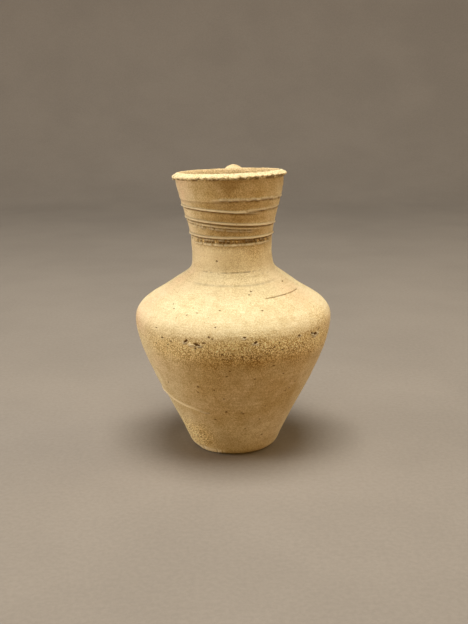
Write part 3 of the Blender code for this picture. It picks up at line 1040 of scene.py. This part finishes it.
        # Painted shadow under the lip and painted shade in the bites of its ragged lower edge.
        bitten = 1.3 * (self.noise.lumps(points, 0.85) + 0.6 * self.noise.lumps(points, 2.1))
        edges = (
            (slice(outer.stop - 1, lip.start + 2), 0.8, 1.1),
            (slice(lip.start + 2, lip.start + 4), 0.0, 1.1),
            (slice(lip.start + 4, lip.start + 7), -0.65, 0.6),
        )
        for part, least, most in edges:
            shares["groove"][part] = np.clip(least + bitten[part], 0.0, most)
        # On the lip the bloom share is full as painted light; on the fall into the mouth the paler, pinker
        # tone is painted light, and on the deep inside the stain share is painted shade.
        plain = (
            (lip, {"grit": 1.3, "bloom_and_light": 1.0}),
            (inward, {"bloom_and_light": 0.6, "blush": 0.5, "stain_and_shade": 0.30, "grit": 0.7}),
            (inside, {"bloom_and_light": 0.10, "stain_and_shade": 0.70, "grit": 0.3}),
            (slice(0, under), {"bloom_and_light": 0.4}),
        )
        for part, values in plain:
            for name, value in values.items():
                shares[name][part] = value
        shares["blush"][inside] = 0.55 + 0.35 * hump(turn_apart(azimuths, -150.0), 0.0, 40.0)
        return shares


@dataclass
class Handle:
    """The strap handle at the back, from just under the lip over and down to the shoulder."""

    outline: Outline
    noise: ClayNoise
    width: float = 12.8
    thickness: float = 6.8
    reach: float = 50.0
    offset: float = 2.1
    root_depth: float = -0.4
    root_drop: float = 2.1
    root_angle: float = 26.0
    arch: float = 25.5
    bend_drop: float = 17.5
    foot_radius: float = 41.0
    foot_angle: float = 66.0
    foot_depth: float = 2.0
    top_flare: float = 0.08
    foot_flare: float = 0.62
    flare_length: float = 6.5
    sections: int = 84
    sides: int = 44
    squareness: float = 1.55
    pinch: float = 0.16

    def line(self) -> Array:
        """The middle of the strap, as distance from the axis and height, evenly spaced."""
        outline = self.outline
        root = np.array([outline.mouth_radius - self.root_depth, outline.lip_height - self.root_drop])
        bend = np.array([self.reach - self.thickness / 2.0, outline.lip_height - self.bend_drop])
        above = outline.line[outline.line[:, 1] > outline.belly_height]
        landing_height = np.interp(-self.foot_radius, -above[:, 0], above[:, 1])
        into = direction(-90.0 - outline.shoulder_slope) * self.foot_depth
        foot = np.array([self.foot_radius, landing_height]) + into
        drop = bend[1] - foot[1]
        leave = direction(self.root_angle) * (bend[0] - root[0]) * 0.50
        top = stretch(root, leave, bend, np.array([0.0, -self.arch]), 200)
        down = np.array([0.0, -drop * 0.48])
        land = direction(self.foot_angle - 180.0) * drop * 0.36
        whole = end_to_end([top, stretch(bend, down, foot, land, 200)])
        run = added_up(np.hypot(*np.diff(whole, axis=0).T))
        even = np.linspace(0.0, run[-1], self.sections)
        return np.stack([np.interp(even, run, side) for side in whole.T] + [even], axis=1)

    def build(self) -> Surface:
        """Carry the rounded section along the line.

        The section is a superellipse: its width follows the sign-kept power of the cosine and
        its thickness that of the sine. It swells toward both ends, where the clay was pressed
        on, and a shallow finger's width runs down its outer face.

        Returns:
            The grid in millimetres, closed by poles at both ends.
        """
        line = self.line()
        travel = np.gradient(line[:, :2], line[:, 2], axis=0)
        travel = travel / np.hypot(travel[:, 0], travel[:, 1])[:, None]
        to_end = line[-1, 2] - line[:, 2]
        swell = self.top_flare * np.exp(-line[:, 2] / self.flare_length)
        swell = swell + self.foot_flare * np.exp(-to_end / self.flare_length)
        pinched = 1.0 - self.pinch * hump(line[:, 2], 12.0, 12.0)
        wide = (self.width / 2.0 * (1.0 + swell) * pinched)[:, None]
        thick = (self.thickness / 2.0 * (1.0 + swell / 2.0))[:, None]
        angle = np.linspace(0.0, 2.0 * math.pi, self.sides, endpoint=False)[None]
        power = 2.0 / self.squareness
        across = np.sign(np.cos(angle)) * np.abs(np.cos(angle)) ** power
        through = np.sign(np.sin(angle)) * np.abs(np.sin(angle)) ** power
        hollow = 0.04 * np.exp(-((across / 0.45) ** 2)) * (through > 0.0)
        x = self.offset + wide * across
        out = line[:, :1] - travel[:, 1:] * thick * (through - hollow)
        up = line[:, 1:2] + travel[:, :1] * thick * (through - hollow)
        points = np.stack(self.outline.lean(x, out, up), axis=-1)
        middle = points.mean(axis=1, keepdims=True)
        outward = points - middle
        outward = outward / np.linalg.norm(outward, axis=-1, keepdims=True)
        lumps = 0.20 * self.noise.lumps(points, 9.0) + 0.05 * self.noise.layered(points, 2.4, 2)
        points = points + outward * lumps[..., None]
        poles = np.broadcast_to(middle[[0, -1]], (2,) + points.shape[1:])
        closed = np.concatenate([poles[:1], points, poles[1:]])
        shares = {name: np.zeros(closed.shape[:2]) for name in SHARES}
        shares["crest"] = 0.25 * np.clip(self.noise.lumps(closed, 6.0), 0.0, 1.0)
        shares["grit"][:] = 0.25
        shares["blush"] = 0.35 * smooth_step(0.5 + self.noise.lumps(closed, 13.0))
        shares["bloom_and_light"] = np.clip(0.6 + 0.2 * self.noise.lumps(closed, 15.0), 0.0, 1.0)
        return Surface(closed, shares)


def make_mesh(name: str, surface: Surface) -> bpy.types.Object:
    """Turn a grid whose first and last rows are poles into a closed, smooth mesh.

    Quads join neighbouring rows and columns, and fans of triangles join the end rows to one
    vertex each. Faces point outward where columns run east and rows run up.

    Args:
        name: The object's name.
        surface: Grid of points in millimetres with its shares of finish.

    Returns:
        The object, in metres, with each share as a point attribute.
    """
    rows, columns = surface.points.shape[:2]
    ring_rows = rows - 2
    inner = surface.points[1:-1].reshape(-1, 3)
    coordinates = np.concatenate([inner, surface.points[0, :1], surface.points[-1, :1]]) * MM
    row, column = np.meshgrid(np.arange(ring_rows - 1), np.arange(columns), indexing="ij")
    after = (column + 1) % columns
    quads = np.stack([
        row * columns + column, row * columns + after,
        (row + 1) * columns + after, (row + 1) * columns + column,
    ], axis=-1).reshape(-1, 4)
    around = np.arange(columns)
    ahead = (around + 1) % columns
    low_pole, high_pole = len(inner), len(inner) + 1
    last = (ring_rows - 1) * columns
    low_fan = np.stack([np.full(columns, low_pole), ahead, around], axis=-1)
    high_fan = np.stack([last + around, last + ahead, np.full(columns, high_pole)], axis=-1)
    fans = np.concatenate([low_fan, high_fan])
    mesh = bpy.data.meshes.new(name)
    mesh.vertices.add(len(coordinates))
    mesh.vertices.foreach_set("co", coordinates.astype(np.float32).ravel())
    corners = np.concatenate([quads.ravel(), fans.ravel()]).astype(np.int32)
    sizes = np.concatenate([np.full(len(quads), 4), np.full(len(fans), 3)])
    starts = np.concatenate([[0], np.cumsum(sizes)[:-1]]).astype(np.int32)
    mesh.loops.add(len(corners))
    mesh.loops.foreach_set("vertex_index", corners)
    mesh.polygons.add(len(sizes))
    mesh.polygons.foreach_set("loop_start", starts)
    mesh.update(calc_edges=True)
    for share, values in surface.shares.items():
        attribute = mesh.attributes.new(share, "FLOAT", "POINT")
        flat = np.concatenate([values[1:-1].ravel(), values[0, :1], values[-1, :1]])
        attribute.data.foreach_set("value", flat.astype(np.float32))
    mesh.shade_smooth()
    item = bpy.data.objects.new(name, mesh)
    bpy.context.scene.collection.objects.link(item)
    return item


@dataclass
class NodeSheet:
    """A node tree being drawn up: adds nodes, sets their values and links them."""

    tree: bpy.types.NodeTree

    def add(self, kind: str, **settings: object) -> bpy.types.Node:
        """Add a node with some of its settings."""
        node = self.tree.nodes.new(kind)
        for name, value in settings.items():
            setattr(node, name, value)
        return node

    def feed(self, socket: Socket, value: object) -> None:
        """Link a socket to another, or give it a value."""
        if isinstance(value, bpy.types.NodeSocket):
            self.tree.links.new(value, socket)
        else:
            socket.default_value = value

    def maths(self, operation: str, first: object, second: object = 0.0, clamp: bool = False) -> Socket:
        """One sum of two values."""
        node = self.add("ShaderNodeMath", operation=operation, use_clamp=clamp)
        self.feed(node.inputs[0], first)
        self.feed(node.inputs[1], second)
        return node.outputs[0]

    def times(self, first: object, second: object, clamp: bool = False) -> Socket:
        """One value times another."""
        return self.maths("MULTIPLY", first, second, clamp)

    def plus(self, first: object, second: object, clamp: bool = False) -> Socket:
        """One value added to another."""
        return self.maths("ADD", first, second, clamp)

    def less(self, first: object, second: object) -> Socket:
        """One value with another taken off."""
        return self.maths("SUBTRACT", first, second)

    def vector(self, operation: str, first: object, second: object) -> bpy.types.Node:
        """One sum of two vectors."""
        node = self.add("ShaderNodeVectorMath", operation=operation)
        self.feed(node.inputs[0], first)
        self.feed(node.inputs[1], second)
        return node

    def ramp(self, value: object, low: object, high: object, start: float = 0.0, end: float = 1.0) -> Socket:
        """Carry a value from one range to another with soft ends."""
        node = self.add("ShaderNodeMapRange", interpolation_type="SMOOTHSTEP")
        names = ("Value", "From Min", "From Max", "To Min", "To Max")
        for name, setting in zip(names, (value, low, high, start, end)):
            self.feed(node.inputs[name], setting)
        return node.outputs["Result"]

    def blend(self, share: object, first: object, second: object, mode: str = "MIX") -> Socket:
        """Lay one colour over another by a share."""
        node = self.add("ShaderNodeMix", data_type="RGBA", blend_type=mode)
        self.feed(node.inputs["Factor"], share)
        self.feed(node.inputs[6], first)
        self.feed(node.inputs[7], second)
        return node.outputs[2]

    def noise(self, place: Socket, scale: object, detail: float = 2.0, roughness: float = 0.5) -> Socket:
        """Cloudy noise in space."""
        node = self.add("ShaderNodeTexNoise")
        settings = {"Vector": place, "Scale": scale, "Detail": detail, "Roughness": roughness}
        for name, value in settings.items():
            self.feed(node.inputs[name], value)
        return node.outputs["Fac"]

    def share(self, name: str) -> Socket:
        """A share of finish that the mesh carries."""
        return self.add("ShaderNodeAttribute", attribute_name=name).outputs["Fac"]

    def group(self, tree: bpy.types.NodeTree, **values: object) -> bpy.types.Node:
        """Place a node group, with underscores for spaces in its inputs' names."""
        node = self.add("ShaderNodeGroup", node_tree=tree)
        for name, value in values.items():
            self.feed(node.inputs[name.replace("_", " ")], value)
        return node


@dataclass
class GroupSheet(NodeSheet):
    """A node group being drawn up, with its own inputs and outputs."""

    inlet: bpy.types.Node
    outlet: bpy.types.Node

    @classmethod
    def start(cls, name: str, inputs: dict[str, str], outputs: dict[str, str]) -> "GroupSheet":
        """Begin a group.

        Args:
            name: The group's name.
            inputs: Kind of each named input: Vector, Float or Color.
            outputs: Kind of each named output.

        Returns:
            The sheet to draw on.
        """
        tree = bpy.data.node_groups.new(name, "ShaderNodeTree")
        for direction_name, sockets in (("INPUT", inputs), ("OUTPUT", outputs)):
            for socket, kind in sockets.items():
                tree.interface.new_socket(socket, in_out=direction_name, socket_type=f"NodeSocket{kind}")
        return cls(tree, tree.nodes.new("NodeGroupInput"), tree.nodes.new("NodeGroupOutput"))

    def entry(self, name: str) -> Socket:
        """The value that comes in at a named input."""
        return self.inlet.outputs[name]

    def give(self, name: str, value: Socket) -> None:
        """Send a value out at a named output."""
        self.feed(self.outlet.inputs[name], value)


def mottling_group() -> bpy.types.NodeTree:
    """Uneven clay: broad clouds, hand-sized patches and a fine grain, each near 0.5."""
    outputs = {"Clouds": "Float", "Patches": "Float", "Grain": "Float"}
    sheet = GroupSheet.start("clay mottling", {"Place": "Vector"}, outputs)
    place = sheet.entry("Place")
    sheet.give("Clouds", sheet.noise(place, 45.0, 3.0, 0.5))
    sheet.give("Patches", sheet.noise(place, 190.0, 3.0, 0.6))
    sheet.give("Grain", sheet.noise(place, 1500.0, 2.0, 0.7))
    return sheet.tree


def wheel_group() -> bpy.types.NodeTree:
    """Fine level lines from the wheel: noise pressed flat, so that it changes fast with height."""
    sheet = GroupSheet.start("wheel lines", {"Place": "Vector", "Fineness": "Float"}, {"Lines": "Float"})
    flat = sheet.vector("MULTIPLY", sheet.entry("Place"), (0.02, 0.02, 1.0)).outputs[0]
    sheet.give("Lines", sheet.noise(flat, sheet.entry("Fineness"), 3.0, 0.65))
    return sheet.tree


def speck_group() -> bpy.types.NodeTree:
    """Round specks: the middle of some cells, chosen by each cell's own random colour."""
    inputs = {"Place": "Vector", "Fineness": "Float", "Size": "Float", "Bare Share": "Float"}
    sheet = GroupSheet.start("specks", inputs, {"Specks": "Float"})
    cells = sheet.add("ShaderNodeTexVoronoi", feature="F1")
    sheet.feed(cells.inputs["Vector"], sheet.entry("Place"))
    sheet.feed(cells.inputs["Scale"], sheet.entry("Fineness"))
    size = sheet.entry("Size")
    near = sheet.ramp(cells.outputs["Distance"], size, sheet.times(size, 0.45))
    split = sheet.add("ShaderNodeSeparateColor")
    sheet.feed(split.inputs["Color"], cells.outputs["Color"])
    chosen = sheet.maths("GREATER_THAN", split.outputs["Red"], sheet.entry("Bare Share"))
    sheet.give("Specks", sheet.times(near, chosen))
    return sheet.tree


def pit_group() -> bpy.types.NodeTree:
    """How near a place is to the nearest pit so far, 1 at a pit's edge.

    The place takes a hair's breadth from the pits before, so that they are worked out one after
    another and the shader never has to hold many values at once.
    """
    inputs = {"Place": "Vector", "Centre": "Vector", "Turn": "Vector", "Size": "Vector", "Before": "Float"}
    sheet = GroupSheet.start("pit", inputs, {"Nearest": "Float"})
    mapped = sheet.add("ShaderNodeMapping", vector_type="TEXTURE")
    nudged = sheet.vector("MULTIPLY_ADD", sheet.entry("Before"), (1e-9, 1e-9, 1e-9))
    sheet.feed(nudged.inputs[2], sheet.entry("Place"))
    sheet.feed(mapped.inputs["Vector"], nudged.outputs[0])
    for socket, name in (("Location", "Centre"), ("Rotation", "Turn"), ("Scale", "Size")):
        sheet.feed(mapped.inputs[socket], sheet.entry(name))
    away = sheet.vector("LENGTH", mapped.outputs[0], (0.0, 0.0, 0.0)).outputs["Value"]
    sheet.give("Nearest", sheet.maths("MINIMUM", away, sheet.entry("Before")))
    return sheet.tree


@dataclass(frozen=True)
class ClayPatterns:
    """The patterns from which the clay's colour and its fine relief are laid up."""

    clouds: Socket
    patches: Socket
    grain: Socket
    lines: Socket
    dark_specks: Socket
    fine_specks: Socket
    lime_specks: Socket
    pits: Socket
    grit: Socket
    crumbs: Socket


@dataclass(frozen=True)
class BuffClay:
    """Unglazed buff earthenware: pale bloom and painted light over brown clay, specks, painted shade in pits
    and grooves, and painted highlights on edges.

    The specks' rows hold fineness, size and bare share, for dark, fine and lime specks.
    """

    # The pale colour paints highlights on edges as well as lime specks, the colour for grooves paints shade,
    # the dark colour paints shade in the pits, and the brown colour lays stains, painted shade and specks.
    cream: Colour = (0.83, 0.72, 0.51, 1.0)
    buff: Colour = (0.56, 0.40, 0.19, 1.0)
    brown: Colour = (0.38, 0.235, 0.085, 1.0)
    blush: Colour = (0.78, 0.52, 0.36, 1.0)
    pale: Colour = (1.0, 0.845, 0.62, 1.0)
    painted_shade: Colour = (0.20, 0.11, 0.035, 1.0)
    dark: Colour = (0.20, 0.10, 0.03, 1.0)
    warmth: Colour = (1.08, 0.98, 0.74, 1.0)
    roughness: float = 0.9
    relief: float = 0.0004
    tone_powers: tuple[float, ...] = (0.85, 1.12, 1.65)
    specks: tuple[tuple[float, ...], ...] = ((420.0, 0.16, 0.72), (900.0, 0.22, 0.75), (330.0, 0.12, 0.80))

    def dress(self, outline: Outline, pits: Sequence[Pit]) -> bpy.types.Material:
        """Draw up the clay's material.

        Args:
            outline: Where the pits lie.
            pits: The pits whose dark middles are drawn on.

        Returns:
            The material.
        """
        material = bpy.data.materials.new("buff clay, fired and worn")
        material.use_nodes = True
        sheet = NodeSheet(material.node_tree)
        shader = material.node_tree.nodes["Principled BSDF"]
        patterns = self.patterns(sheet, outline, pits)
        sheet.feed(shader.inputs["Base Color"], self.colour(sheet, patterns))
        height = self.height(sheet, patterns)
        bump = sheet.add("ShaderNodeBump")
        bump.inputs["Strength"].default_value = 1.0
        bump.inputs["Distance"].default_value = self.relief
        sheet.feed(bump.inputs["Height"], height)
        sheet.feed(shader.inputs["Normal"], bump.outputs["Normal"])
        rough = sheet.ramp(patterns.patches, 0.2, 0.8, self.roughness - 0.08, self.roughness + 0.06)
        sheet.feed(shader.inputs["Roughness"], rough)
        shader.inputs["Specular IOR Level"].default_value = 0.25
        return material

    def patterns(self, sheet: NodeSheet, outline: Outline, pits: Sequence[Pit]) -> ClayPatterns:
        """Draw up the patterns that the colour and the relief share."""
        place = sheet.add("ShaderNodeTexCoord").outputs["Object"]
        mottled = sheet.group(mottling_group(), Place=place)
        clouds, patches, grain = (mottled.outputs[name] for name in ("Clouds", "Patches", "Grain"))
        lines = sheet.group(wheel_group(), Place=place, Fineness=900.0).outputs[0]
        group = speck_group()
        dark, fine, lime = (
            sheet.group(group, Place=place, Fineness=fineness, Size=size, Bare_Share=bare).outputs[0]
            for fineness, size, bare in self.specks
        )
        holes = self.pit_shares(sheet, place, outline, pits)
        grit = sheet.share("grit")
        crumbs = sheet.noise(place, 1500.0, 4.0, 0.72)
        return ClayPatterns(clouds, patches, grain, lines, dark, fine, lime, holes, grit, crumbs)

    def pit_shares(
        self, sheet: NodeSheet, place: Socket, outline: Outline, pits: Sequence[Pit]
    ) -> Socket:
        """The pits' dark middles, painted shade made uneven by a small push of the coordinates."""
        push = sheet.add("ShaderNodeTexNoise")
        sheet.feed(push.inputs["Vector"], place)
        push.inputs["Scale"].default_value = 900.0
        centred = sheet.vector("SUBTRACT", push.outputs["Color"], (0.5, 0.5, 0.5)).outputs[0]
        moved = sheet.vector("MULTIPLY", centred, (0.0011, 0.0011, 0.0009)).outputs[0]
        uneven = sheet.vector("ADD", place, moved).outputs[0]
        group = pit_group()
        shown = {PitKind.HOLE: 1.0, PitKind.NICK: 0.95}
        seen: object = 0.0
        for kind, darkness in shown.items():
            nearest: object = 9.0
            for pit in (pit for pit in pits if pit.kind is kind):
                middle, turn, size = pit.frame(outline)
                node = sheet.group(group, Place=uneven, Centre=middle, Turn=turn, Size=size, Before=nearest)
                nearest = node.outputs[0]
            share = sheet.times(sheet.ramp(nearest, 1.45, 0.85), darkness)
            seen = sheet.maths("MAXIMUM", share, seen)
        return seen

    def colour(self, sheet: NodeSheet, seen: ClayPatterns) -> Socket:
        """Lay the clay's colours over each other, from the body's own colour to painted shade in the pits."""
        ramp, times = sheet.ramp, sheet.times
        # The bloom share is a pale bloom together with painted light.
        bloom_and_light = sheet.plus(sheet.share("bloom_and_light"), ramp(seen.clouds, 0.3, 0.7, -0.10, 0.12), True)
        bloom_and_light = sheet.plus(bloom_and_light, ramp(seen.patches, 0.3, 0.7, -0.05, 0.08), True)
        colour = sheet.blend(bloom_and_light, self.buff, self.cream)
        blush = times(sheet.share("blush"), ramp(seen.patches, 0.25, 0.75, 0.35, 0.75))
        colour = sheet.blend(blush, colour, self.blush)
        # The stain share lays a real brown drip and painted shade in one.
        stain_and_shade = times(sheet.share("stain_and_shade"), ramp(seen.clouds, 0.25, 0.75, 0.40, 0.80))
        colour = sheet.blend(stain_and_shade, colour, self.brown)
        tone = ramp(seen.patches, 0.3, 0.7, 0.94, 1.06)
        speckle = times(ramp(seen.grain, 0.34, 0.66, -1.0, 1.0), ramp(bloom_and_light, 0.0, 1.0, 0.20, 0.10))
        tone = times(tone, sheet.plus(speckle, 1.0))
        ringed = times(ramp(seen.lines, 0.36, 0.64, -1.0, 1.0), ramp(bloom_and_light, 0.0, 1.0, 0.055, 0.03))
        tone = times(tone, sheet.plus(ringed, 1.0))
        clumps = ramp(seen.patches, 0.30, 0.70, 1.45, 0.75)
        bare = sheet.maths("POWER", seen.grit, 1.4)
        colour = sheet.blend(times(bare, 1.0, True), colour, self.warmth, "MULTIPLY")
        torn = times(times(bare, clumps), ramp(seen.crumbs, 0.62, 0.38, -0.38, 0.37))
        tone = times(tone, sheet.less(1.0, torn))
        combined = sheet.add("ShaderNodeCombineColor")
        for name, power in zip(CHANNELS, self.tone_powers):
            sheet.feed(combined.inputs[name], sheet.maths("POWER", tone, power))
        colour = sheet.blend(1.0, colour, combined.outputs["Color"], "MULTIPLY")
        # Painted highlights on edges that face the light, and pale chips.
        colour = sheet.blend(times(sheet.share("crest"), 1.0, True), colour, self.pale)
        # Painted shade under the ridges and the lip and in the cuts.
        groove = times(sheet.share("groove"), ramp(seen.grain, 0.3, 0.7, 0.60, 0.95), True)
        colour = sheet.blend(groove, colour, self.painted_shade)
        limed = times(seen.lime_specks, ramp(seen.grit, 0.3, 1.0, 0.45, 0.85))
        colour = sheet.blend(limed, colour, self.pale)
        dark = times(seen.dark_specks, 0.55)
        fine = times(seen.fine_specks, ramp(seen.grit, 0.0, 1.0, 0.12, 0.32))
        colour = sheet.blend(sheet.maths("MAXIMUM", dark, fine), colour, self.brown)
        # Painted shade in the pits.
        return sheet.blend(times(seen.pits, 0.92), colour, self.dark)

    def height(self, sheet: NodeSheet, seen: ClayPatterns) -> Socket:
        """The fine relief: grain everywhere, crumbs where the clay is torn, holes and lines."""
        times = sheet.times
        total = times(seen.grain, 0.45)
        total = sheet.plus(total, times(seen.lines, 0.45))
        total = sheet.plus(total, times(sheet.share("crest"), 2.5))
        total = sheet.plus(total, times(seen.crumbs, sheet.ramp(seen.grit, 0.0, 1.0, 0.15, 1.20)))
        total = sheet.less(total, times(seen.fine_specks, sheet.ramp(seen.grit, 0.0, 1.0, 0.10, 0.40)))
        total = sheet.less(total, times(seen.dark_specks, 0.45))
        return sheet.less(total, times(seen.pits, 0.9))


@dataclass
class Ewer:
    """The whole object: vessel and handle as one piece of clay."""

    outline: Outline = field(default_factory=Outline)
    noise: ClayNoise = field(default_factory=lambda: ClayNoise(seed=411))
    clay: BuffClay = BuffClay()

    def build(self) -> bpy.types.Object:
        """Make the vessel, lute the handle on, and dress the clay.

        Returns:
            The finished piece, riding on the body and standing for the CAD node.
        """
        seen = front_pits()
        vessel_maker = Vessel(self.outline, self.noise, pits=seen + hidden_pits(46, 77))
        vessel = make_mesh("ewer_clay", vessel_maker.build())
        log.info("vessel: %d faces", len(vessel.data.polygons))
        handle = make_mesh("handle_strap", Handle(self.outline, self.noise).build())
        log.info("handle: %d faces", len(handle.data.polygons))
        self.lute(vessel, handle)
        vessel.data.materials.clear()
        vessel.data.materials.append(self.clay.dress(self.outline, seen))
        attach(vessel, BODY)
        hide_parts(NODE)
        return vessel

    def lute(self, vessel: bpy.types.Object, handle: bpy.types.Object) -> None:
        """Join the handle to the vessel, so that both are one closed surface."""
        joint = vessel.modifiers.new("luted handle", "BOOLEAN")
        joint.operation = "UNION"
        joint.solver = "MANIFOLD"
        joint.object = handle
        seen = vessel.evaluated_get(bpy.context.evaluated_depsgraph_get())
        joined = bpy.data.meshes.new_from_object(seen)
        vessel.modifiers.clear()
        vessel.data = joined
        bpy.data.objects.remove(handle)
        log.info("joined: %d faces", len(joined.polygons))


@dataclass(frozen=True)
class Panel:
    """A soft square light that looks at the middle of the ewer."""

    name: str
    place: tuple[float, float, float]
    size: float
    power: float
    colour: tuple[float, float, float] = (1.0, 1.0, 1.0)
    target: tuple[float, float, float] = (0.0, 0.0, 0.08)

    def hang(self) -> None:
        """Hang the light in the studio."""
        light = bpy.data.lights.new(self.name, "AREA")
        light.shape = "SQUARE"
        light.size = self.size
        light.energy = self.power
        light.color = self.colour
        lamp = bpy.data.objects.new(self.name, light)
        lamp.location = self.place
        look = Vector(self.target) - Vector(self.place)
        lamp.rotation_euler = look.to_track_quat("-Z", "Y").to_euler()
        bpy.context.scene.collection.objects.link(lamp)


@dataclass
class Studio:
    """The pale paper cove, its soft lights, and the camera at the photograph's angle."""

    panels: tuple[Panel, ...] = (
        Panel("overhead panel", (0.0, -0.14, 1.2), 0.65, 15.8, (1.0, 0.96, 0.79)),
        Panel("high right panel", (0.9, 0.0, 0.9), 0.7, 2.1, (1.0, 0.95, 0.60)),
        Panel("left panel", (-1.1, 0.0, 0.30), 0.6, 6.7, (1.0, 0.91, 0.72)),
        Panel("right panel", (1.1, 0.0, 0.30), 0.6, 2.4, (1.0, 0.62, 0.32)),
        Panel("low front panel", (0.0, -1.3, 0.30), 0.8, 3.4, (1.0, 0.60, 0.08)),
    )
    ambient: Colour = (0.004, 0.003, 0.002, 1.0)
    paper_colour: Colour = (0.312, 0.278, 0.272, 1.0)
    camera_place: tuple[float, float, float] = (0.0005, -0.500, 0.2062)
    camera_pitch: float = 14.7
    camera_roll: float = 0.5
    focal_length: float = 54.06
    cove_middle: float = -0.4
    cove_half: tuple[float, float] = (1.7, 1.3)
    cove_curve: float = 0.5
    cove_top: float = 1.9
    cove_columns: int = 96

    def paper(self) -> bpy.types.Material:
        """Matt pale grey paper with a faint fibre."""
        material = bpy.data.materials.new("pale paper")
        material.use_nodes = True
        sheet = NodeSheet(material.node_tree)
        shader = material.node_tree.nodes["Principled BSDF"]
        place = sheet.add("ShaderNodeTexCoord").outputs["Object"]
        fibre = sheet.noise(place, 420.0, 4.0, 0.7)
        broad = sheet.noise(place, 9.0, 3.0, 0.6)
        fine = sheet.ramp(fibre, 0.3, 0.7, 0.95, 1.05)
        tone = sheet.times(fine, sheet.ramp(broad, 0.3, 0.7, 0.96, 1.04))
        combined = sheet.add("ShaderNodeCombineColor")
        for name in CHANNELS:
            sheet.feed(combined.inputs[name], tone)
        colour = sheet.blend(1.0, self.paper_colour, combined.outputs["Color"], "MULTIPLY")
        sheet.feed(shader.inputs["Base Color"], colour)
        shader.inputs["Roughness"].default_value = 0.85
        shader.inputs["Specular IOR Level"].default_value = 0.2
        return material

    def lay_cove(self) -> None:
        """Lay the paper: an oval floor under the ewer that turns up into a wall all around.

        The floor runs out from its middle to an ellipse. From there a quarter circle carries the
        paper outward along the ellipse's normal and upward, and the wall stands straight on it.
        """
        angle = np.linspace(0.0, 2.0 * math.pi, self.cove_columns, endpoint=False)
        half_x, half_y = self.cove_half
        edge = np.stack([half_x * np.cos(angle), half_y * np.sin(angle)], axis=-1)
        normal = edge / np.array([half_x, half_y]) ** 2
        normal = normal / np.linalg.norm(normal, axis=-1, keepdims=True)
        turn = np.linspace(0.0, math.pi / 2.0, 24)
        shares = np.concatenate([np.linspace(0.0, 1.0, 10)[1:-1], np.ones(25)])
        out = np.concatenate([np.zeros(8), self.cove_curve * np.sin(turn), [self.cove_curve]])
        up = np.concatenate([np.zeros(8), self.cove_curve * (1.0 - np.cos(turn)), [self.cove_top]])
        flat = shares[:, None, None] * edge + out[:, None, None] * normal
        flat = flat + np.array([0.0, self.cove_middle])
        points = np.concatenate([flat, np.broadcast_to(up[:, None, None], flat.shape[:2] + (1,))], axis=-1)
        rows, columns = points.shape[:2]
        row, column = np.meshgrid(np.arange(rows - 1), np.arange(columns), indexing="ij")
        first, after = row * columns + column, row * columns + (column + 1) % columns
        faces = np.stack([first, first + columns, after + columns, after], axis=-1).reshape(-1, 4).tolist()
        mesh = bpy.data.meshes.new("paper cove")
        mesh.from_pydata(points.reshape(-1, 3).tolist(), [], [list(range(columns))] + faces)
        mesh.shade_smooth()
        mesh.materials.append(self.paper())
        cove = bpy.data.objects.new("paper_cove", mesh)
        bpy.context.scene.collection.objects.link(cove)

    def set_camera(self) -> None:
        """Set the camera up where the photograph was taken from."""
        lens = bpy.data.cameras.new("camera")
        lens.lens = self.focal_length
        lens.sensor_width = 36.0
        lens.clip_start = 0.01
        camera = bpy.data.objects.new("camera", lens)
        pitch = Matrix.Rotation(math.radians(90.0 - self.camera_pitch), 4, "X")
        roll = Matrix.Rotation(math.radians(-self.camera_roll), 4, "Z")
        camera.matrix_world = Matrix.Translation(self.camera_place) @ pitch @ roll
        bpy.context.scene.collection.objects.link(camera)
        bpy.context.scene.camera = camera

    def set_up(self) -> None:
        """Lay the paper, hang the lights, set the camera and the room's dim light."""
        self.lay_cove()
        for panel in self.panels:
            panel.hang()
        self.set_camera()
        room = bpy.data.worlds.new("dim room")
        room.use_nodes = True
        room.node_tree.nodes["Background"].inputs["Color"].default_value = self.ambient
        bpy.context.scene.world = room
        bpy.context.scene.view_settings.view_transform = "Standard"


def main() -> None:
    """Build the ewer and its studio."""
    logging.basicConfig(level=logging.INFO, format="%(name)s: %(message)s")
    Ewer().build()
    log.info("ewer built")
    Studio().set_up()
    log.info("studio set")


if __name__ == "__main__":
    main()
